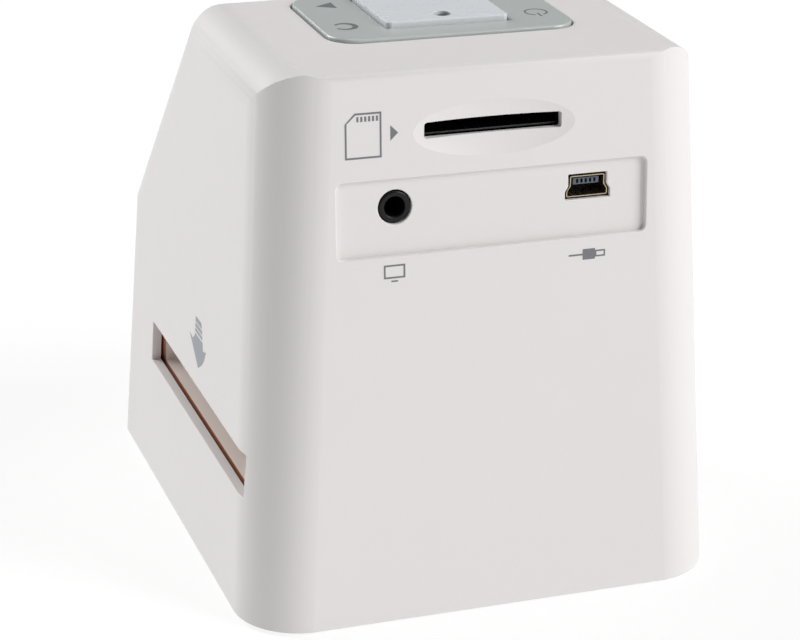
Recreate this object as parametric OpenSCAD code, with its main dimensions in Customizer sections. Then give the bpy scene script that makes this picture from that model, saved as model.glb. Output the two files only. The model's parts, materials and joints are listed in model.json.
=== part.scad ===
/* [Casing] */
// Width across the bottom edge of the casing
body_w = 89; // [86:0.5:96]
// Depth along the bottom edge of the casing
body_d = 96.6; // [94:0.2:104]
// Height of the casing from its bottom edge to its flat top
body_h = 98; // [96:0.2:105]
// Inward lean of the two side faces, in degrees
side_lean = 2.85; // [2:0.05:3.5]
// Inward lean of the rear face, in degrees
rear_lean = 4.56; // [3.5:0.02:5]
// Inward lean of the upright lower front, in degrees
front_lean = 2.13; // [1:0.01:3]
// Height of the ridge where the front starts to slope back
ridge_z = 52; // [48:0.5:55]
// Angle of the sloping front from the horizontal, in degrees
slope_a = 50.7; // [49:0.1:54]
// Wall thickness
wall = 1.8; // [1.5:0.1:2.2]
// Radius of the two upright rear corners
rear_corner_r = 11.8; // [8:0.2:14]
// Radius of the two upright front corners
front_corner_r = 5; // [3:0.5:8]
// Radius along the two side edges of the top
top_side_r = 8; // [5:0.5:9]
// Radius along the rear edge of the top
top_rear_r = 1.5; // [1:0.5:4]
// Radius along the front edge of the top
top_front_r = 3; // [2:0.5:3]
// Radius along the ridge of the front
ridge_r = 6; // [3:0.5:10]

/* [Ports in the rear face] */
// Width of the shallow port recess
port_w = 56.2; // [52:0.2:60]
// Height of the shallow port recess
port_h = 13.4; // [11:0.2:15]
// Depth of the shallow port recess
port_depth = 1; // [0.6:0.1:1.2]
// Height of the middle of the recess above the casing's bottom edge
port_z = 72.9; // [71:0.1:74]
// Distance of the two sockets from the middle of the rear face
socket_x = 17.5; // [16:0.5:20]
// Bore radius of the audio-video jack, for a 3.5 mm plug
jack_bore_r = 1.8; // [1.7:0.05:1.9]
// Outer radius of the jack's nose
jack_nose_r = 2.8; // [2.5:0.1:3]
// Depth of the jack's bore
jack_bore_l = 11; // [9:0.5:12]
// Width of the USB socket's shell
usb_w = 7.7; // [7.4:0.1:8]
// Height of the USB socket's shell
usb_h = 3.9; // [3.7:0.1:4.1]
// Width of the memory card slot
card_slot_w = 24.8; // [24.4:0.1:25.4]
// Height of the memory card slot
card_slot_h = 2.5; // [2.3:0.1:2.7]
// Width of the dished finger recess around the card slot
dish_w = 29.2; // [28:0.2:32]
// Height of the dished finger recess
dish_h = 9.6; // [8:0.2:11]
// Depth of the dished finger recess
dish_depth = 1.2; // [0.8:0.1:1.4]

/* [Film channel] */
// Distance of the film's middle line behind the middle of the casing
film_y = 5.7; // [5:0.1:6.5]
// Width of the slot in each side face
slot_w = 64.2; // [63:0.2:66]
// Height of the slot's lower edge above the casing's bottom edge
slot_z = 24; // [23:0.1:25]
// Height of the slot in each side face
slot_h = 6.3; // [6:0.1:7]
// Width of the channel that the film holder slides in
channel_w = 61; // [60:0.2:62]
// Height of the channel that the film holder slides in
channel_h = 5.4; // [5:0.1:5.8]
// Height of the channel's floor above the slot's lower edge
channel_step = 0.5; // [0.3:0.1:0.7]
// Thickness of the lower guide under the channel
guide_floor_t = 4.3; // [3.5:0.1:5]
// Thickness of the upper guide over the channel
guide_lid_t = 3.2; // [2.8:0.1:4]
// Width of each side rail of the lower guide
rail_w = 4.5; // [4:0.1:5]
// Gap between the guides and the inside of the side walls
guide_gap = 1.3; // [1:0.1:2]
// Length of the film frame seen through the guides
frame_l = 37; // [36:0.5:38]
// Width of the film frame seen through the guides
frame_w = 25; // [24:0.5:26]
// Radius of the ball that clicks into the film holder
ball_r = 1.5; // [1.2:0.1:1.6]
// How far the ball stands into the channel
ball_proud = 0.8; // [0.5:0.1:0.9]

/* [Keys on the top] */
// Width of the silver key plate
key_w = 45.2; // [44:0.2:48]
// Depth of the silver key plate
key_d = 29.4; // [28.8:0.2:29.8]
// Height of the key plate above the casing's top
key_proud = 0.6; // [0.4:0.1:1]
// Corner radius of the key plate
key_r = 5; // [3:0.5:6]
// Distance of the key plate's rear edge behind the middle of the casing
key_rear_y = 23.3; // [22.8:0.1:23.8]
// Gap around a key
key_gap = 0.35; // [0.3:0.05:0.5]
// Width of the square scan button
scan_w = 22.6; // [20:0.2:24]
// Depth of the square scan button
scan_d = 20.6; // [18:0.2:22]
// Distance of the scan button's rear edge behind the middle of the casing
scan_rear_y = 17.6; // [17:0.1:18]
// Height of the scan button above the key plate
scan_proud = 1; // [0.7:0.1:1.3]
// Travel of the scan button
scan_travel = 0.5; // [0.3:0.1:0.6]
// Radius of the clear light pipe in the scan button
pipe_r = 1.6; // [1.3:0.1:1.8]
// Distance of the light pipe in front of the scan button's rear edge
pipe_inset = 3.4; // [3:0.1:5]

/* [Display] */
// Width of the clear window over the display
window_w = 64; // [62:0.5:66]
// Height of the clear window along the slope
window_h = 46; // [44:0.5:47]
// Thickness of the clear window
window_t = 1.2; // [1:0.1:1.4]
// Width of the display panel
lcd_w = 60.3; // [59:0.1:61]
// Height of the display panel
lcd_h = 42.7; // [42:0.1:43]
// Thickness of the display panel
lcd_t = 2.4; // [2:0.1:2.8]
// Width of the picture area
view_w = 49; // [48:0.5:52]
// Height of the picture area
view_h = 36.8; // [36:0.2:38]

/* [Base and inner parts] */
// Thickness of the base plate
base_t = 2.4; // [2.2:0.1:3]
// Gap between the base plate and the casing's walls
base_gap = 0.3; // [0.25:0.05:0.4]
// How far the rubber feet stand below the casing
foot_proud = 0.6; // [0.4:0.1:1]
// Radius of a rubber foot
foot_r = 5; // [4:0.2:5.4]
// Thickness of a rubber foot
foot_t = 1.4; // [1.2:0.1:1.6]
// Thickness of a circuit board
board_t = 1.6; // [1.4:0.1:1.8]
// Width of the key board
key_board_w = 64; // [62:0.5:65]
// Width of the main board
main_board_w = 70; // [68:0.5:72]
// Outer radius of the lens barrel
barrel_r = 6; // [5.5:0.1:6.2]
// Height of the dark tower between the film and the lens
tower_h = 20; // [18:0.5:21]

/* [Hidden] */
$fn = 64;

// Small allowances shared by the pieces
cut = 1;                    // how far a cutter runs past the face that it opens
fit_gap = 0.1;              // gap between a piece and the pocket that holds it
screw_gap = 0.03;           // gap between a screw and its pilot hole
join = 0.4;                 // how far a rib runs into the wall that carries it
arc_out = 0.03;             // how far a rounding's arc stands out of its faces

// Heights are measured from the casing's bottom edge, and the feet lift it off the table
module lifted() translate([0, 0, foot_proud]) children();

// Slopes of the casing's faces
side_t = tan(side_lean);
rear_t = tan(rear_lean);
front_t = tan(front_lean);
slope_t = 1 / tan(slope_a);
ridge_y = -body_d / 2 + ridge_z * front_t;
function half_w(z, inset = 0) = body_w / 2 - z * side_t - inset / cos(side_lean);
function rear_y(z, inset = 0) = body_d / 2 - z * rear_t - inset / cos(rear_lean);
function front_y(z, inset = 0) = -body_d / 2 + z * front_t + inset / cos(front_lean);
function slope_y(z, inset = 0) = ridge_y + (z - ridge_z) * slope_t + inset / sin(slope_a);
function ridge_at(inset) = ridge_z + inset * (1 / sin(slope_a) - 1 / cos(front_lean)) / (front_t - slope_t);
function less(r, inset) = max(r - inset, 0.6);

// Corner rounding: what lies between a sharp corner at p, with arms towards a and b, and an arc.
// The arc stands out by a hair, so that it crosses the straight faces instead of only touching them.
function toward(a, b) = (b - a) / norm(b - a);
module corner_cut(p, a, b, r) {
    u = toward(p, a);
    v = toward(p, b);
    half = acos(u * v) / 2;
    reach = r / tan(half);
    middle = p + toward([0, 0], u + v) * (r / sin(half) - arc_out);
    difference() {
        polygon([p + u * reach, p - (u + v) * cut, p + v * reach, middle]);
        translate(middle) circle(r);
    }
}

module rounded_rect(w, d, r) {
    corners = [[w, d] / 2, [-w, d] / 2, [-w, -d] / 2, [w, -d] / 2];
    difference() {
        square([w, d], center = true);
        for (i = [0:3]) corner_cut(corners[i], corners[(i + 3) % 4], corners[(i + 1) % 4], r);
    }
}

module rounded_block(w, d, h, r) linear_extrude(h) rounded_rect(w, d, r);

module block(w, d, h) translate([-w / 2, -d / 2, 0]) cube([w, d, h]);

// The same piece at the four spacers between the boards
module at_spacers()
    for (x = [-spacer_x, spacer_x], y = [spacer_front_y, spacer_rear_y]) translate([x, y, 0]) children();

// The same piece at four corners around a middle
module at_corners(x, y, middle_y = 0)
    for (sx = [-1, 1], sy = [-1, 1]) translate([sx * x, middle_y + sy * y, 0]) children();

// Rounds one upright or sloping corner edge of the casing, where the edge passes through start
module corner_column(start, tx, ty, r) {
    n = norm([tx, ty, 1]);
    skew = asin(sin(atan(tx)) * sin(atan(ty)));
    translate(start) rotate([asin(ty / n), -atan(tx), 0]) translate([0, 0, -2 * body_h])
        linear_extrude(4 * body_h) corner_cut([0, 0], [0, -1], [-cos(skew), sin(skew)], r);
}

// The casing's outer form, moved inward by inset, from height low upwards
module casing_form(inset, low) {
    top = body_h - inset;
    ridge = ridge_at(inset);
    cross = [[-half_w(low, inset), low], [half_w(low, inset), low],
        [half_w(top, inset), top], [-half_w(top, inset), top]];
    side = [[front_y(low, inset), low], [rear_y(low, inset), low], [rear_y(top, inset), top],
        [slope_y(top, inset), top], [slope_y(ridge, inset), ridge]];
    difference() {
        intersection() {
            translate([0, body_d, 0]) rotate([90, 0, 0]) linear_extrude(2 * body_d) difference() {
                polygon(cross);
                corner_cut(cross[2], cross[1], cross[3], less(top_side_r, inset));
                corner_cut(cross[3], cross[2], cross[0], less(top_side_r, inset));
            }
            rotate([90, 0, 90]) translate([0, 0, -body_w]) linear_extrude(2 * body_w) difference() {
                polygon(side);
                corner_cut(side[2], side[1], side[3], less(top_rear_r, inset));
                corner_cut(side[3], side[2], side[4], less(top_front_r, inset));
                corner_cut(side[4], side[3], side[0], less(ridge_r, inset));
            }
        }
        for (m = [0, 1]) mirror([m, 0, 0]) {
            corner_column([half_w(0, inset), rear_y(0, inset), 0], side_t, rear_t,
                less(rear_corner_r, inset));
            mirror([0, 1, 0]) {
                corner_column([half_w(0, inset), -front_y(0, inset), 0], side_t, front_t,
                    less(front_corner_r, inset));
                corner_column([half_w(ridge, inset), -slope_y(ridge, inset), ridge], side_t, slope_t,
                    less(front_corner_r, inset));
            }
        }
    }
}

// Places on the faces: x across, y along the face, z outward
slope_mid_z = (ridge_z + body_h) / 2;
module on_slope() translate([0, slope_y(slope_mid_z), slope_mid_z]) rotate([slope_a, 0, 0]) children();
module on_rear(x, z) translate([x, rear_y(z), z]) rotate([rear_lean - 90, 0, 0]) children();
function slope_point(along, out) = [slope_y(slope_mid_z) + along * cos(slope_a) - out * sin(slope_a),
    slope_mid_z + along * sin(slope_a) + out * cos(slope_a)];

// Stack of heights
channel_z = slot_z + channel_step;
guide_z = channel_z - guide_floor_t;
lid_z = channel_z + channel_h;
lid_top = lid_z + guide_lid_t;
tower_top = lid_top + tower_h;
guide_half_x = half_w(slot_z + slot_h, wall) - guide_gap;
rail_y = channel_w / 2 + rail_w / 2;
guide_corner_r = rail_w - 0.5;
light_step = 1.2;                           // depth of the wider step under the light opening
diffuser_t = 1.5;
diffuser_z = guide_z - diffuser_t;
led_post_h = 2.6;
led_board_t = 1.2;
led_board_z = base_t + led_post_h;
led_board_w = 50;
led_board_d = 42;
light_w = frame_l + 7;
light_d = frame_w + 7;
usb_drop = usb_h / 2;
main_z = port_z + 2 + usb_drop;            // underside of the main board
main_top = main_z + board_t;
usb_z = main_z - usb_drop;
jack_body_h = 4.9;
jack_z = main_z - jack_body_h / 2;
card_t = 2.1;
card_base_t = 0.4;
shell_t = 0.3;
card_drop = 10.6;                           // middle of the card slot below the casing's top
card_z = body_h - card_drop;
card_room = card_t + 0.15;
key_board_z = card_z + card_room / 2 + card_base_t;
key_board_top = key_board_z + board_t;
key_y = key_rear_y - key_d / 2;
scan_y = scan_rear_y - scan_d / 2;
pipe_y = scan_rear_y - pipe_inset;
key_top = body_h + key_proud;
scan_top = key_top + scan_proud;

// Fasteners
base_screw_x = half_w(0, wall) - 6.7;
base_screw_y = rear_y(0, wall) - 7.5;
base_screw_r = 1.3;
base_screw_l = 9;
base_boss_r = 3;
base_boss_h = 14;
base_head_r = 2.3;
base_head_h = 1.2;
small_screw_r = 0.9;
small_head_r = 1.7;
small_head_h = 1.2;
spacer_x = key_board_w / 2 - 3;
spacer_front_y = -1;
spacer_rear_y = 24.5;
spacer_r = 2.2;
stud_r = 1.2;
stud_l = 4.5;                               // how far a stud stands above the key board
stud_room = 0.5;
boss_r = 2.4;
main_screw_l = 4.5;                         // how far a screw reaches into its spacer

// A pan-head screw that points up from z = 0, with its head below
module screw_up(r, length, head_r, head_h) {
    translate([0, 0, -head_h]) cylinder(r = head_r, h = head_h);
    cylinder(r = r, h = length);
}
// The same screw, pointing down
module screw_down(r, length, head_r, head_h) rotate([180, 0, 0]) screw_up(r, length, head_r, head_h);

// A compression spring that stands on z = 0, its round wire swept as a helix
module coil_spring(r, wire_r, length, turns) {
    sides = 8;
    turn_steps = 12;
    steps = turn_steps * turns;
    rise = (length - 2 * wire_r) / steps;
    points = [for (i = [0:steps], k = [0:sides - 1]) let(
        a = 360 * i / turn_steps,
        b = 360 * k / sides,
        out = r + wire_r * cos(b)) [out * cos(a), out * sin(a), wire_r + i * rise + wire_r * sin(b)]];
    walls = [for (i = [0:steps - 1], k = [0:sides - 1]) let(
        n = (k + 1) % sides) [i * sides + k, i * sides + n, (i + 1) * sides + n, (i + 1) * sides + k]];
    ends = [[for (k = [sides - 1:-1:0]) k], [for (k = [0:sides - 1]) steps * sides + k]];
    polyhedron(points, concat(walls, ends));
}

// ---------------------------------------------------------------- casing and base

window_r = 2;
display_pad = 1.2;                          // extra thickness behind the window's ledge
lcd_boss_x = window_w / 2 + 2.4;
lcd_boss_y = 16;
lcd_boss_r = 2.1;
frame_t = 1.2;
frame_side = 7;                             // width of the display frame's upright bars
frame_bar = 6;                              // width of its upper and lower bars

module key_opening() translate([0, key_y, body_h - wall - cut])
    rounded_block(key_w + 2 * key_gap, key_d + 2 * key_gap, wall + 2 * cut, key_r + key_gap);

// A shallow dish: a slice of a wide spindle that turns about the X direction
module card_dish() {
    spindle_r = (dish_h * dish_h / 4 + dish_depth * dish_depth) / (2 * dish_depth);
    arc_r = dish_w * dish_w / (8 * dish_depth);
    on_rear(0, card_z) translate([0, 0, spindle_r - dish_depth]) rotate([0, 90, 0]) rotate_extrude()
        intersection() {
            translate([spindle_r - arc_r, 0]) circle(arc_r, $fn = 256);
            translate([0, -dish_w]) square([spindle_r + cut, 2 * dish_w]);
        }
}

module usb_outline(grow) {
    w = usb_w / 2 + grow;
    h = usb_h / 2 + grow;
    neck = w - 0.6;
    polygon([[-w, -h], [w, -h], [w, -0.8], [neck, 0.1], [neck, h], [-neck, h], [-neck, 0.1], [-w, -0.8]]);
}

port_r = 1.2;
module port_cuts() {
    on_rear(0, port_z) translate([0, 0, -port_depth]) rounded_block(port_w, port_h, port_depth + cut, port_r);
    translate([socket_x, rear_y(jack_z) - 4 * wall, jack_z]) rotate([-90, 0, 0])
        cylinder(r = jack_nose_r + 2 * fit_gap, h = 6 * wall);
    translate([-socket_x, rear_y(usb_z) + 2 * wall, usb_z]) rotate([90, 0, 0])
        linear_extrude(6 * wall) usb_outline(2 * fit_gap);
    card_dish();
    translate([-card_slot_w / 2, rear_y(card_z) - 4 * wall, card_z - card_slot_h / 2])
        cube([card_slot_w, 6 * wall, card_slot_h]);
}

// Film slot through both sides, with a chamfered lower lip
lip_drop = 2.2;
lip_in = 1.1;
module slot_cuts() {
    translate([-body_w, film_y - slot_w / 2, slot_z]) cube([2 * body_w, slot_w, slot_h]);
    for (m = [0, 1]) mirror([m, 0, 0]) translate([0, film_y + slot_w / 2, 0]) rotate([90, 0, 0])
        linear_extrude(slot_w) polygon([[half_w(slot_z) - lip_in, slot_z + join],
            [half_w(slot_z) - lip_in, slot_z], [half_w(slot_z - lip_drop), slot_z - lip_drop],
            [body_w, slot_z - lip_drop], [body_w, slot_z + join]]);
}

module window_cuts() on_slope() {
    translate([0, 0, -window_t])
        rounded_block(window_w + 2 * fit_gap, window_h + 2 * fit_gap, window_t + cut, window_r);
    translate([0, 0, -wall - display_pad - cut])
        rounded_block(view_w + 3, view_h + 3, wall + display_pad + 2 * cut, 1);
}

module casing_bosses() {
    // corner bosses for the base screws, each with a rib to the side wall
    at_corners(base_screw_x, base_screw_y) translate([0, 0, base_t])
        cylinder(r = base_boss_r, h = base_boss_h);
    for (sx = [-1, 1], sy = [-1, 1]) translate([sx * (base_screw_x + body_w / 4), sy * base_screw_y, base_t])
        block(body_w / 2, 1.6, base_boss_h);
    // bosses under the top that the boards hang from
    at_spacers() translate([0, 0, key_board_top]) cylinder(r = boss_r, h = body_h - key_board_top);
    on_slope() {
        translate([0, 0, -wall - display_pad]) block(window_w + 4, window_h + 4, wall);
        at_corners(lcd_boss_x, lcd_boss_y) translate([0, 0, -wall - display_pad - lcd_t])
            cylinder(r = lcd_boss_r, h = display_pad + lcd_t + join);
    }
}

module casing_boss_holes() {
    at_corners(base_screw_x, base_screw_y) translate([0, 0, base_t - cut])
        cylinder(r = base_screw_r + screw_gap, h = base_boss_h + cut - 2);
    at_spacers() translate([0, 0, key_board_top - cut])
        cylinder(r = stud_r + screw_gap, h = stud_l + stud_room + cut);
    on_slope() at_corners(lcd_boss_x, lcd_boss_y) translate([0, 0, -wall - display_pad - lcd_t - cut])
        cylinder(r = small_screw_r + screw_gap, h = lcd_t + cut);
}

module casing() color("whitesmoke") lifted() difference() {
    union() {
        difference() {
            casing_form(0, 0);
            casing_form(wall, -cut);
        }
        intersection() {
            casing_bosses();
            casing_form(wall - join, 0);
        }
    }
    key_opening();
    port_cuts();
    slot_cuts();
    window_cuts();
    casing_boss_holes();
}

module base_outline() {
    w = half_w(0, wall) - base_gap;
    rear = rear_y(0, wall) - base_gap;
    front = front_y(0, wall) + base_gap;
    corners = [[w, rear], [-w, rear], [-w, front], [w, front]];
    radii = [rear_corner_r - wall, rear_corner_r - wall, front_corner_r - wall, front_corner_r - wall];
    difference() {
        polygon(corners);
        for (i = [0:3]) corner_cut(corners[i], corners[(i + 3) % 4], corners[(i + 1) % 4], radii[i]);
    }
}

foot_x = body_w / 2 - 15.5;
foot_y = body_d / 2 - 16.3;
led_post_x = 21.5;
led_post_y = 15.5;
led_post_r = 2;
guide_post_x = 22;
guide_post_r = 3;
guide_screw_r = 1.3;
guide_screw_l = 7;                          // how far a screw reaches into its post
guide_head_h = 1.6;

module base_plate() color("gainsboro") lifted() difference() {
    union() {
        linear_extrude(base_t) base_outline();
        at_corners(led_post_x, led_post_y, film_y) cylinder(r = led_post_r, h = led_board_z);
        at_corners(guide_post_x, rail_y, film_y) cylinder(r = guide_post_r, h = guide_z);
    }
    at_corners(base_screw_x, base_screw_y) {
        translate([0, 0, -cut]) cylinder(r = base_screw_r + fit_gap, h = base_t + 2 * cut);
        translate([0, 0, -cut]) cylinder(r = base_head_r + fit_gap, h = base_head_h + cut);
    }
    at_corners(foot_x, foot_y) translate([0, 0, -cut])
        cylinder(r = foot_r + fit_gap, h = foot_t - foot_proud + cut);
    at_corners(led_post_x, led_post_y, film_y) translate([0, 0, base_t])
        cylinder(r = small_screw_r + screw_gap, h = led_board_z);
    at_corners(guide_post_x, rail_y, film_y) translate([0, 0, guide_z - guide_screw_l - 2])
        cylinder(r = guide_screw_r + screw_gap, h = guide_screw_l + 2 + cut);
}

module rubber_feet() color("dimgray") at_corners(foot_x, foot_y) cylinder(r = foot_r, h = foot_t);

module base_screws() color("silver") lifted() at_corners(base_screw_x, base_screw_y)
    translate([0, 0, base_head_h]) screw_up(base_screw_r, base_screw_l, base_head_r, base_head_h);

// ---------------------------------------------------------------- display

module lcd_window() color("dimgray") lifted() on_slope() translate([0, 0, -window_t])
    rounded_block(window_w, window_h, window_t - fit_gap, window_r - fit_gap);

lcd_top = -wall - display_pad;
module lcd_panel() color("slategray") lifted() on_slope() {
    translate([0, 0, lcd_top - lcd_t]) block(lcd_w, lcd_h, lcd_t);
}

module lcd_frame() color("lightgray") lifted() on_slope() difference() {
    translate([0, 0, lcd_top - lcd_t - frame_t]) union() {
        rounded_block(lcd_w, lcd_h, frame_t, 1);
        for (sy = [-1, 1]) translate([0, sy * lcd_boss_y, 0])
            rounded_block(2 * lcd_boss_x + 2 * lcd_boss_r, 2 * lcd_boss_r + 1, frame_t, 1);
    }
    translate([0, 0, lcd_top - lcd_t - frame_t - cut]) {
        block(lcd_w - 2 * frame_side, lcd_h - 2 * frame_bar, frame_t + 2 * cut);
        at_corners(lcd_boss_x, lcd_boss_y) cylinder(r = small_screw_r + fit_gap, h = frame_t + 2 * cut);
    }
}

module lcd_screws() color("silver") lifted() on_slope() at_corners(lcd_boss_x, lcd_boss_y)
    translate([0, 0, lcd_top - lcd_t - frame_t])
        screw_up(small_screw_r, frame_t + lcd_t - 0.4, small_head_r, small_head_h);

// A flat cable: a strip of even thickness along points in the YZ plane, centred on x
strip_t = 0.3;
function strip_normal(p, i) = let(
    back = toward(p[max(i - 1, 0)], p[max(i, 1)]),
    ahead = toward(p[min(i, len(p) - 2)], p[min(i + 1, len(p) - 1)]),
    along = back + ahead) [-along[1], along[0]] * strip_t / (along * along);
module strip(p, x, w) translate([x - w / 2, 0, 0]) rotate([90, 0, 90]) linear_extrude(w) polygon(concat(
    [for (i = [0:len(p) - 1]) p[i] + strip_normal(p, i)],
    [for (i = [len(p) - 1:-1:0]) p[i] - strip_normal(p, i)]));

socket_t = 1.4;
socket_d = 4;
lcd_socket_y = -6;
mid_socket_y = 16;
key_socket_y = 1;
cable_drop = socket_t / 2;

lcd_ribbon_w = 16;
lcd_ribbon_low = 15;                        // the cable leaves the panel this far below the slope's middle
lcd_ribbon_back = lcd_top - lcd_t - strip_t / 2;
lcd_ribbon_lead = 3.5;                      // straight run in front of the socket
module lcd_ribbon() color("darkorange") lifted() strip([slope_point(-lcd_ribbon_low, lcd_ribbon_back),
    slope_point(4 - lcd_ribbon_low, lcd_ribbon_back), slope_point(6 - lcd_ribbon_low, lcd_top - lcd_t - 5),
    [lcd_socket_y - 12, main_z - 8], [lcd_socket_y - 6, main_z - cable_drop - 1],
    [lcd_socket_y - lcd_ribbon_lead, main_z - cable_drop],
    [lcd_socket_y - socket_d / 2, main_z - cable_drop]], 0, lcd_ribbon_w);

// ---------------------------------------------------------------- keys

flange = 1.2;
flange_t = 1.2;
flange_top = body_h - wall - 0.7;
mat_t = 1;
mat_gap = 0.8;
mat_top = flange_top - flange_t - mat_gap;
plate_t = 1.8;
ridge_gap = 0.15;
dome_h = 0.4;
dome_gap = scan_travel + 0.1;
pad_z = key_board_top + dome_h + dome_gap;   // underside of what presses a dome
key_spot_x = key_w / 2 - 5.5;               // the four pads under the plate's corners
key_spot_y = key_d / 2 - 8.4;
pad_r = 1.8;
mat_inset = 1;                              // from the plate's edge to the mat's
rim = 1.6;                                  // wall of the plate and of the scan button
mat_ridge_w = 1.6;
stem_r = 2.4;
hole_gap = 0.4;                             // room around what passes through the mat
button_lift = 1.4;                          // underside of the scan button above the mat
button_wall = 1.5;
pipe_wall = 0.9;
pipe_sink = 0.2;                            // end of the light pipe below the button's top
stem_y = scan_y - 2.4;

module key_plate() color("darkseagreen") lifted() translate([0, key_y, flange_top - flange_t]) difference() {
    union() {
        rounded_block(key_w, key_d, key_top - flange_top + flange_t, key_r);
        // the flange that keeps the plate in; the front edge lies too close to the slope for one
        translate([0, flange / 2, 0]) rounded_block(key_w + 2 * flange, key_d + flange, flange_t, key_r);
    }
    translate([0, 0, -cut]) rounded_block(key_w - 2 * rim, key_d - 2 * rim,
        key_top - flange_top + flange_t - plate_t + cut, key_r - rim);
    // square corners, since the button's own corners are rounded
    translate([0, scan_y - key_y, -cut]) block(scan_w + 2 * key_gap, scan_d + 2 * key_gap, body_h);
}

module key_mat() color("darkgray") lifted() difference() {
    union() {
        translate([0, key_y, mat_top - mat_t])
            rounded_block(key_w - 2 * mat_inset, key_d - 2 * mat_inset, mat_t, key_r - mat_inset);
        // pivot ridges under the middle of the plate's front and rear walls
        for (sy = [-1, 1]) translate([0, key_y + sy * (key_d / 2 - mat_inset - mat_ridge_w / 4), mat_top])
            block(mat_ridge_w, mat_ridge_w / 2, mat_gap - ridge_gap);
        at_corners(key_spot_x, key_spot_y, key_y) translate([0, 0, pad_z])
            cylinder(r = pad_r, h = mat_top - pad_z);
    }
    translate([0, stem_y, mat_top - mat_t - cut]) cylinder(r = stem_r + hole_gap, h = mat_t + 2 * cut);
    translate([0, pipe_y, mat_top - mat_t - cut]) cylinder(r = pipe_r + hole_gap, h = mat_t + 2 * cut);
}

scan_r = 1;
button_z = mat_top + button_lift;
module scan_button() color("white") lifted() difference() {
    union() {
        translate([0, scan_y, button_z]) rounded_block(scan_w, scan_d, scan_top - button_z, scan_r);
        translate([0, stem_y, pad_z]) cylinder(r = stem_r, h = scan_top - button_wall - pad_z);
    }
    difference() {
        translate([0, scan_y, button_z - cut]) rounded_block(scan_w - 2 * button_wall,
            scan_d - 2 * button_wall, scan_top - button_z - button_wall + cut, scan_r / 2);
        translate([0, stem_y, 0]) cylinder(r = stem_r, h = 2 * body_h);
        translate([0, pipe_y, 0]) cylinder(r = pipe_r + pipe_wall, h = 2 * body_h);
    }
    translate([0, pipe_y, mat_top]) cylinder(r = pipe_r, h = body_h);
}

led_h = 0.8;
pipe_z = key_board_top + led_h + scan_travel + 0.2;
module light_pipe() color("lightcyan") lifted() translate([0, pipe_y, pipe_z])
    cylinder(r = pipe_r, h = scan_top - pipe_sink - pipe_z);

module status_led() color("gold") lifted() translate([0, pipe_y, key_board_top]) block(2, 1.3, led_h);

key_board_front = spacer_front_y - 5;
key_board_rear = rear_y(key_board_top, wall) - 1.6;
module key_board() color("darkgreen") lifted() difference() {
    translate([0, (key_board_front + key_board_rear) / 2, key_board_z])
        rounded_block(key_board_w, key_board_rear - key_board_front, board_t, 4);
    at_spacers() translate([0, 0, key_board_z - cut]) cylinder(r = stud_r + fit_gap, h = board_t + 2 * cut);
}

// Snap domes: low crowned discs, one under each key
dome_r = 2.2;
module snap_dome() translate([0, 0, key_board_top]) cylinder(r1 = dome_r, r2 = dome_r / 2, h = dome_h);
module key_domes() color("silver") lifted() {
    at_corners(key_spot_x, key_spot_y, key_y) snap_dome();
    translate([0, stem_y, 0]) snap_dome();
}

module board_spacers() color("gold") lifted() at_spacers() difference() {
    union() {
        translate([0, 0, main_top]) cylinder(r = spacer_r, h = key_board_z - main_top, $fn = 6);
        translate([0, 0, key_board_z - join]) cylinder(r = stud_r, h = board_t + stud_l + join);
    }
    translate([0, 0, main_top - cut])
        cylinder(r = small_screw_r + screw_gap, h = main_screw_l + stud_room + cut);
}

key_ribbon_w = 14;
key_ribbon_out = 4.5;                       // where the cable starts to turn, in front of its sockets' middle
key_ribbon_far = 6.5;                       // the front of its loop
key_ribbon_turn = 2.6;
module key_ribbon() color("darkorange") lifted() strip([
    [key_socket_y - socket_d / 2, key_board_z - cable_drop],
    [key_socket_y - key_ribbon_out, key_board_z - cable_drop],
    [key_socket_y - key_ribbon_far, key_board_z - key_ribbon_turn],
    [key_socket_y - key_ribbon_far, main_top + key_ribbon_turn],
    [key_socket_y - key_ribbon_out, main_top + cable_drop],
    [key_socket_y - socket_d / 2, main_top + cable_drop]], 0, key_ribbon_w);

// ---------------------------------------------------------------- memory card socket

card_w = 24.2;
card_l = 26;
card_mouth_y = rear_y(card_z, wall) - 0.5;
card_side = 2.2;
shell_window_w = 8;
shell_window_l = 4;
card_out_w = card_w + 2 * card_side;
slider_l = 9;
slider_at = 3;                              // middle of the slider, from the middle of the socket
slider_travel = 1.8;
slider_t = 1.1;
slider_play = 0.2;
finger_l = 2;                               // the finger that the card's edge pushes
finger_reach = 1.8;

module card_base() color("black") lifted() translate([0, card_mouth_y - card_l / 2, 0]) difference() {
    translate([0, 0, card_z - card_room / 2]) block(card_out_w, card_l, card_room + card_base_t);
    translate([0, shell_t + cut, card_z - card_room / 2 - cut]) block(card_w, card_l, card_room + cut);
    // side room for the slider and its travel
    translate([card_w / 2 - cut, slider_at - slider_l / 2 - slider_travel - fit_gap,
        card_z - card_room / 2 - cut]) cube([cut + slider_t + slider_play + fit_gap,
            slider_l + slider_travel + 2 * fit_gap, card_room + cut - slider_play]);
}

module card_shell() color("silver") lifted() translate([0, card_mouth_y - card_l / 2, 0]) difference() {
    translate([0, 0, card_z - card_room / 2 - shell_t])
        block(card_out_w + 2 * shell_t, card_l, card_room + shell_t + card_base_t);
    translate([0, 0, card_z - card_room / 2])
        block(card_out_w, card_l + 2 * cut, card_room + card_base_t + cut);
    translate([0, -card_l / 4, card_z - card_room]) block(shell_window_w, shell_window_l, card_room);
}

// Pushed inward by the card, on the side away from the card's cut corner
slider_y = card_mouth_y - card_l / 2 + slider_at;
slider_h = card_room - 3 * slider_play;
module card_slider() color("ivory") lifted()
    translate([card_w / 2 + slider_play, slider_y - slider_l / 2, card_z - card_room / 2 + slider_play]) {
        cube([slider_t, slider_l, slider_h]);
        translate([-slider_play - finger_reach, 0, 0])
            cube([finger_reach + slider_play + slider_t / 2, finger_l, slider_h]);
    }

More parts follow.
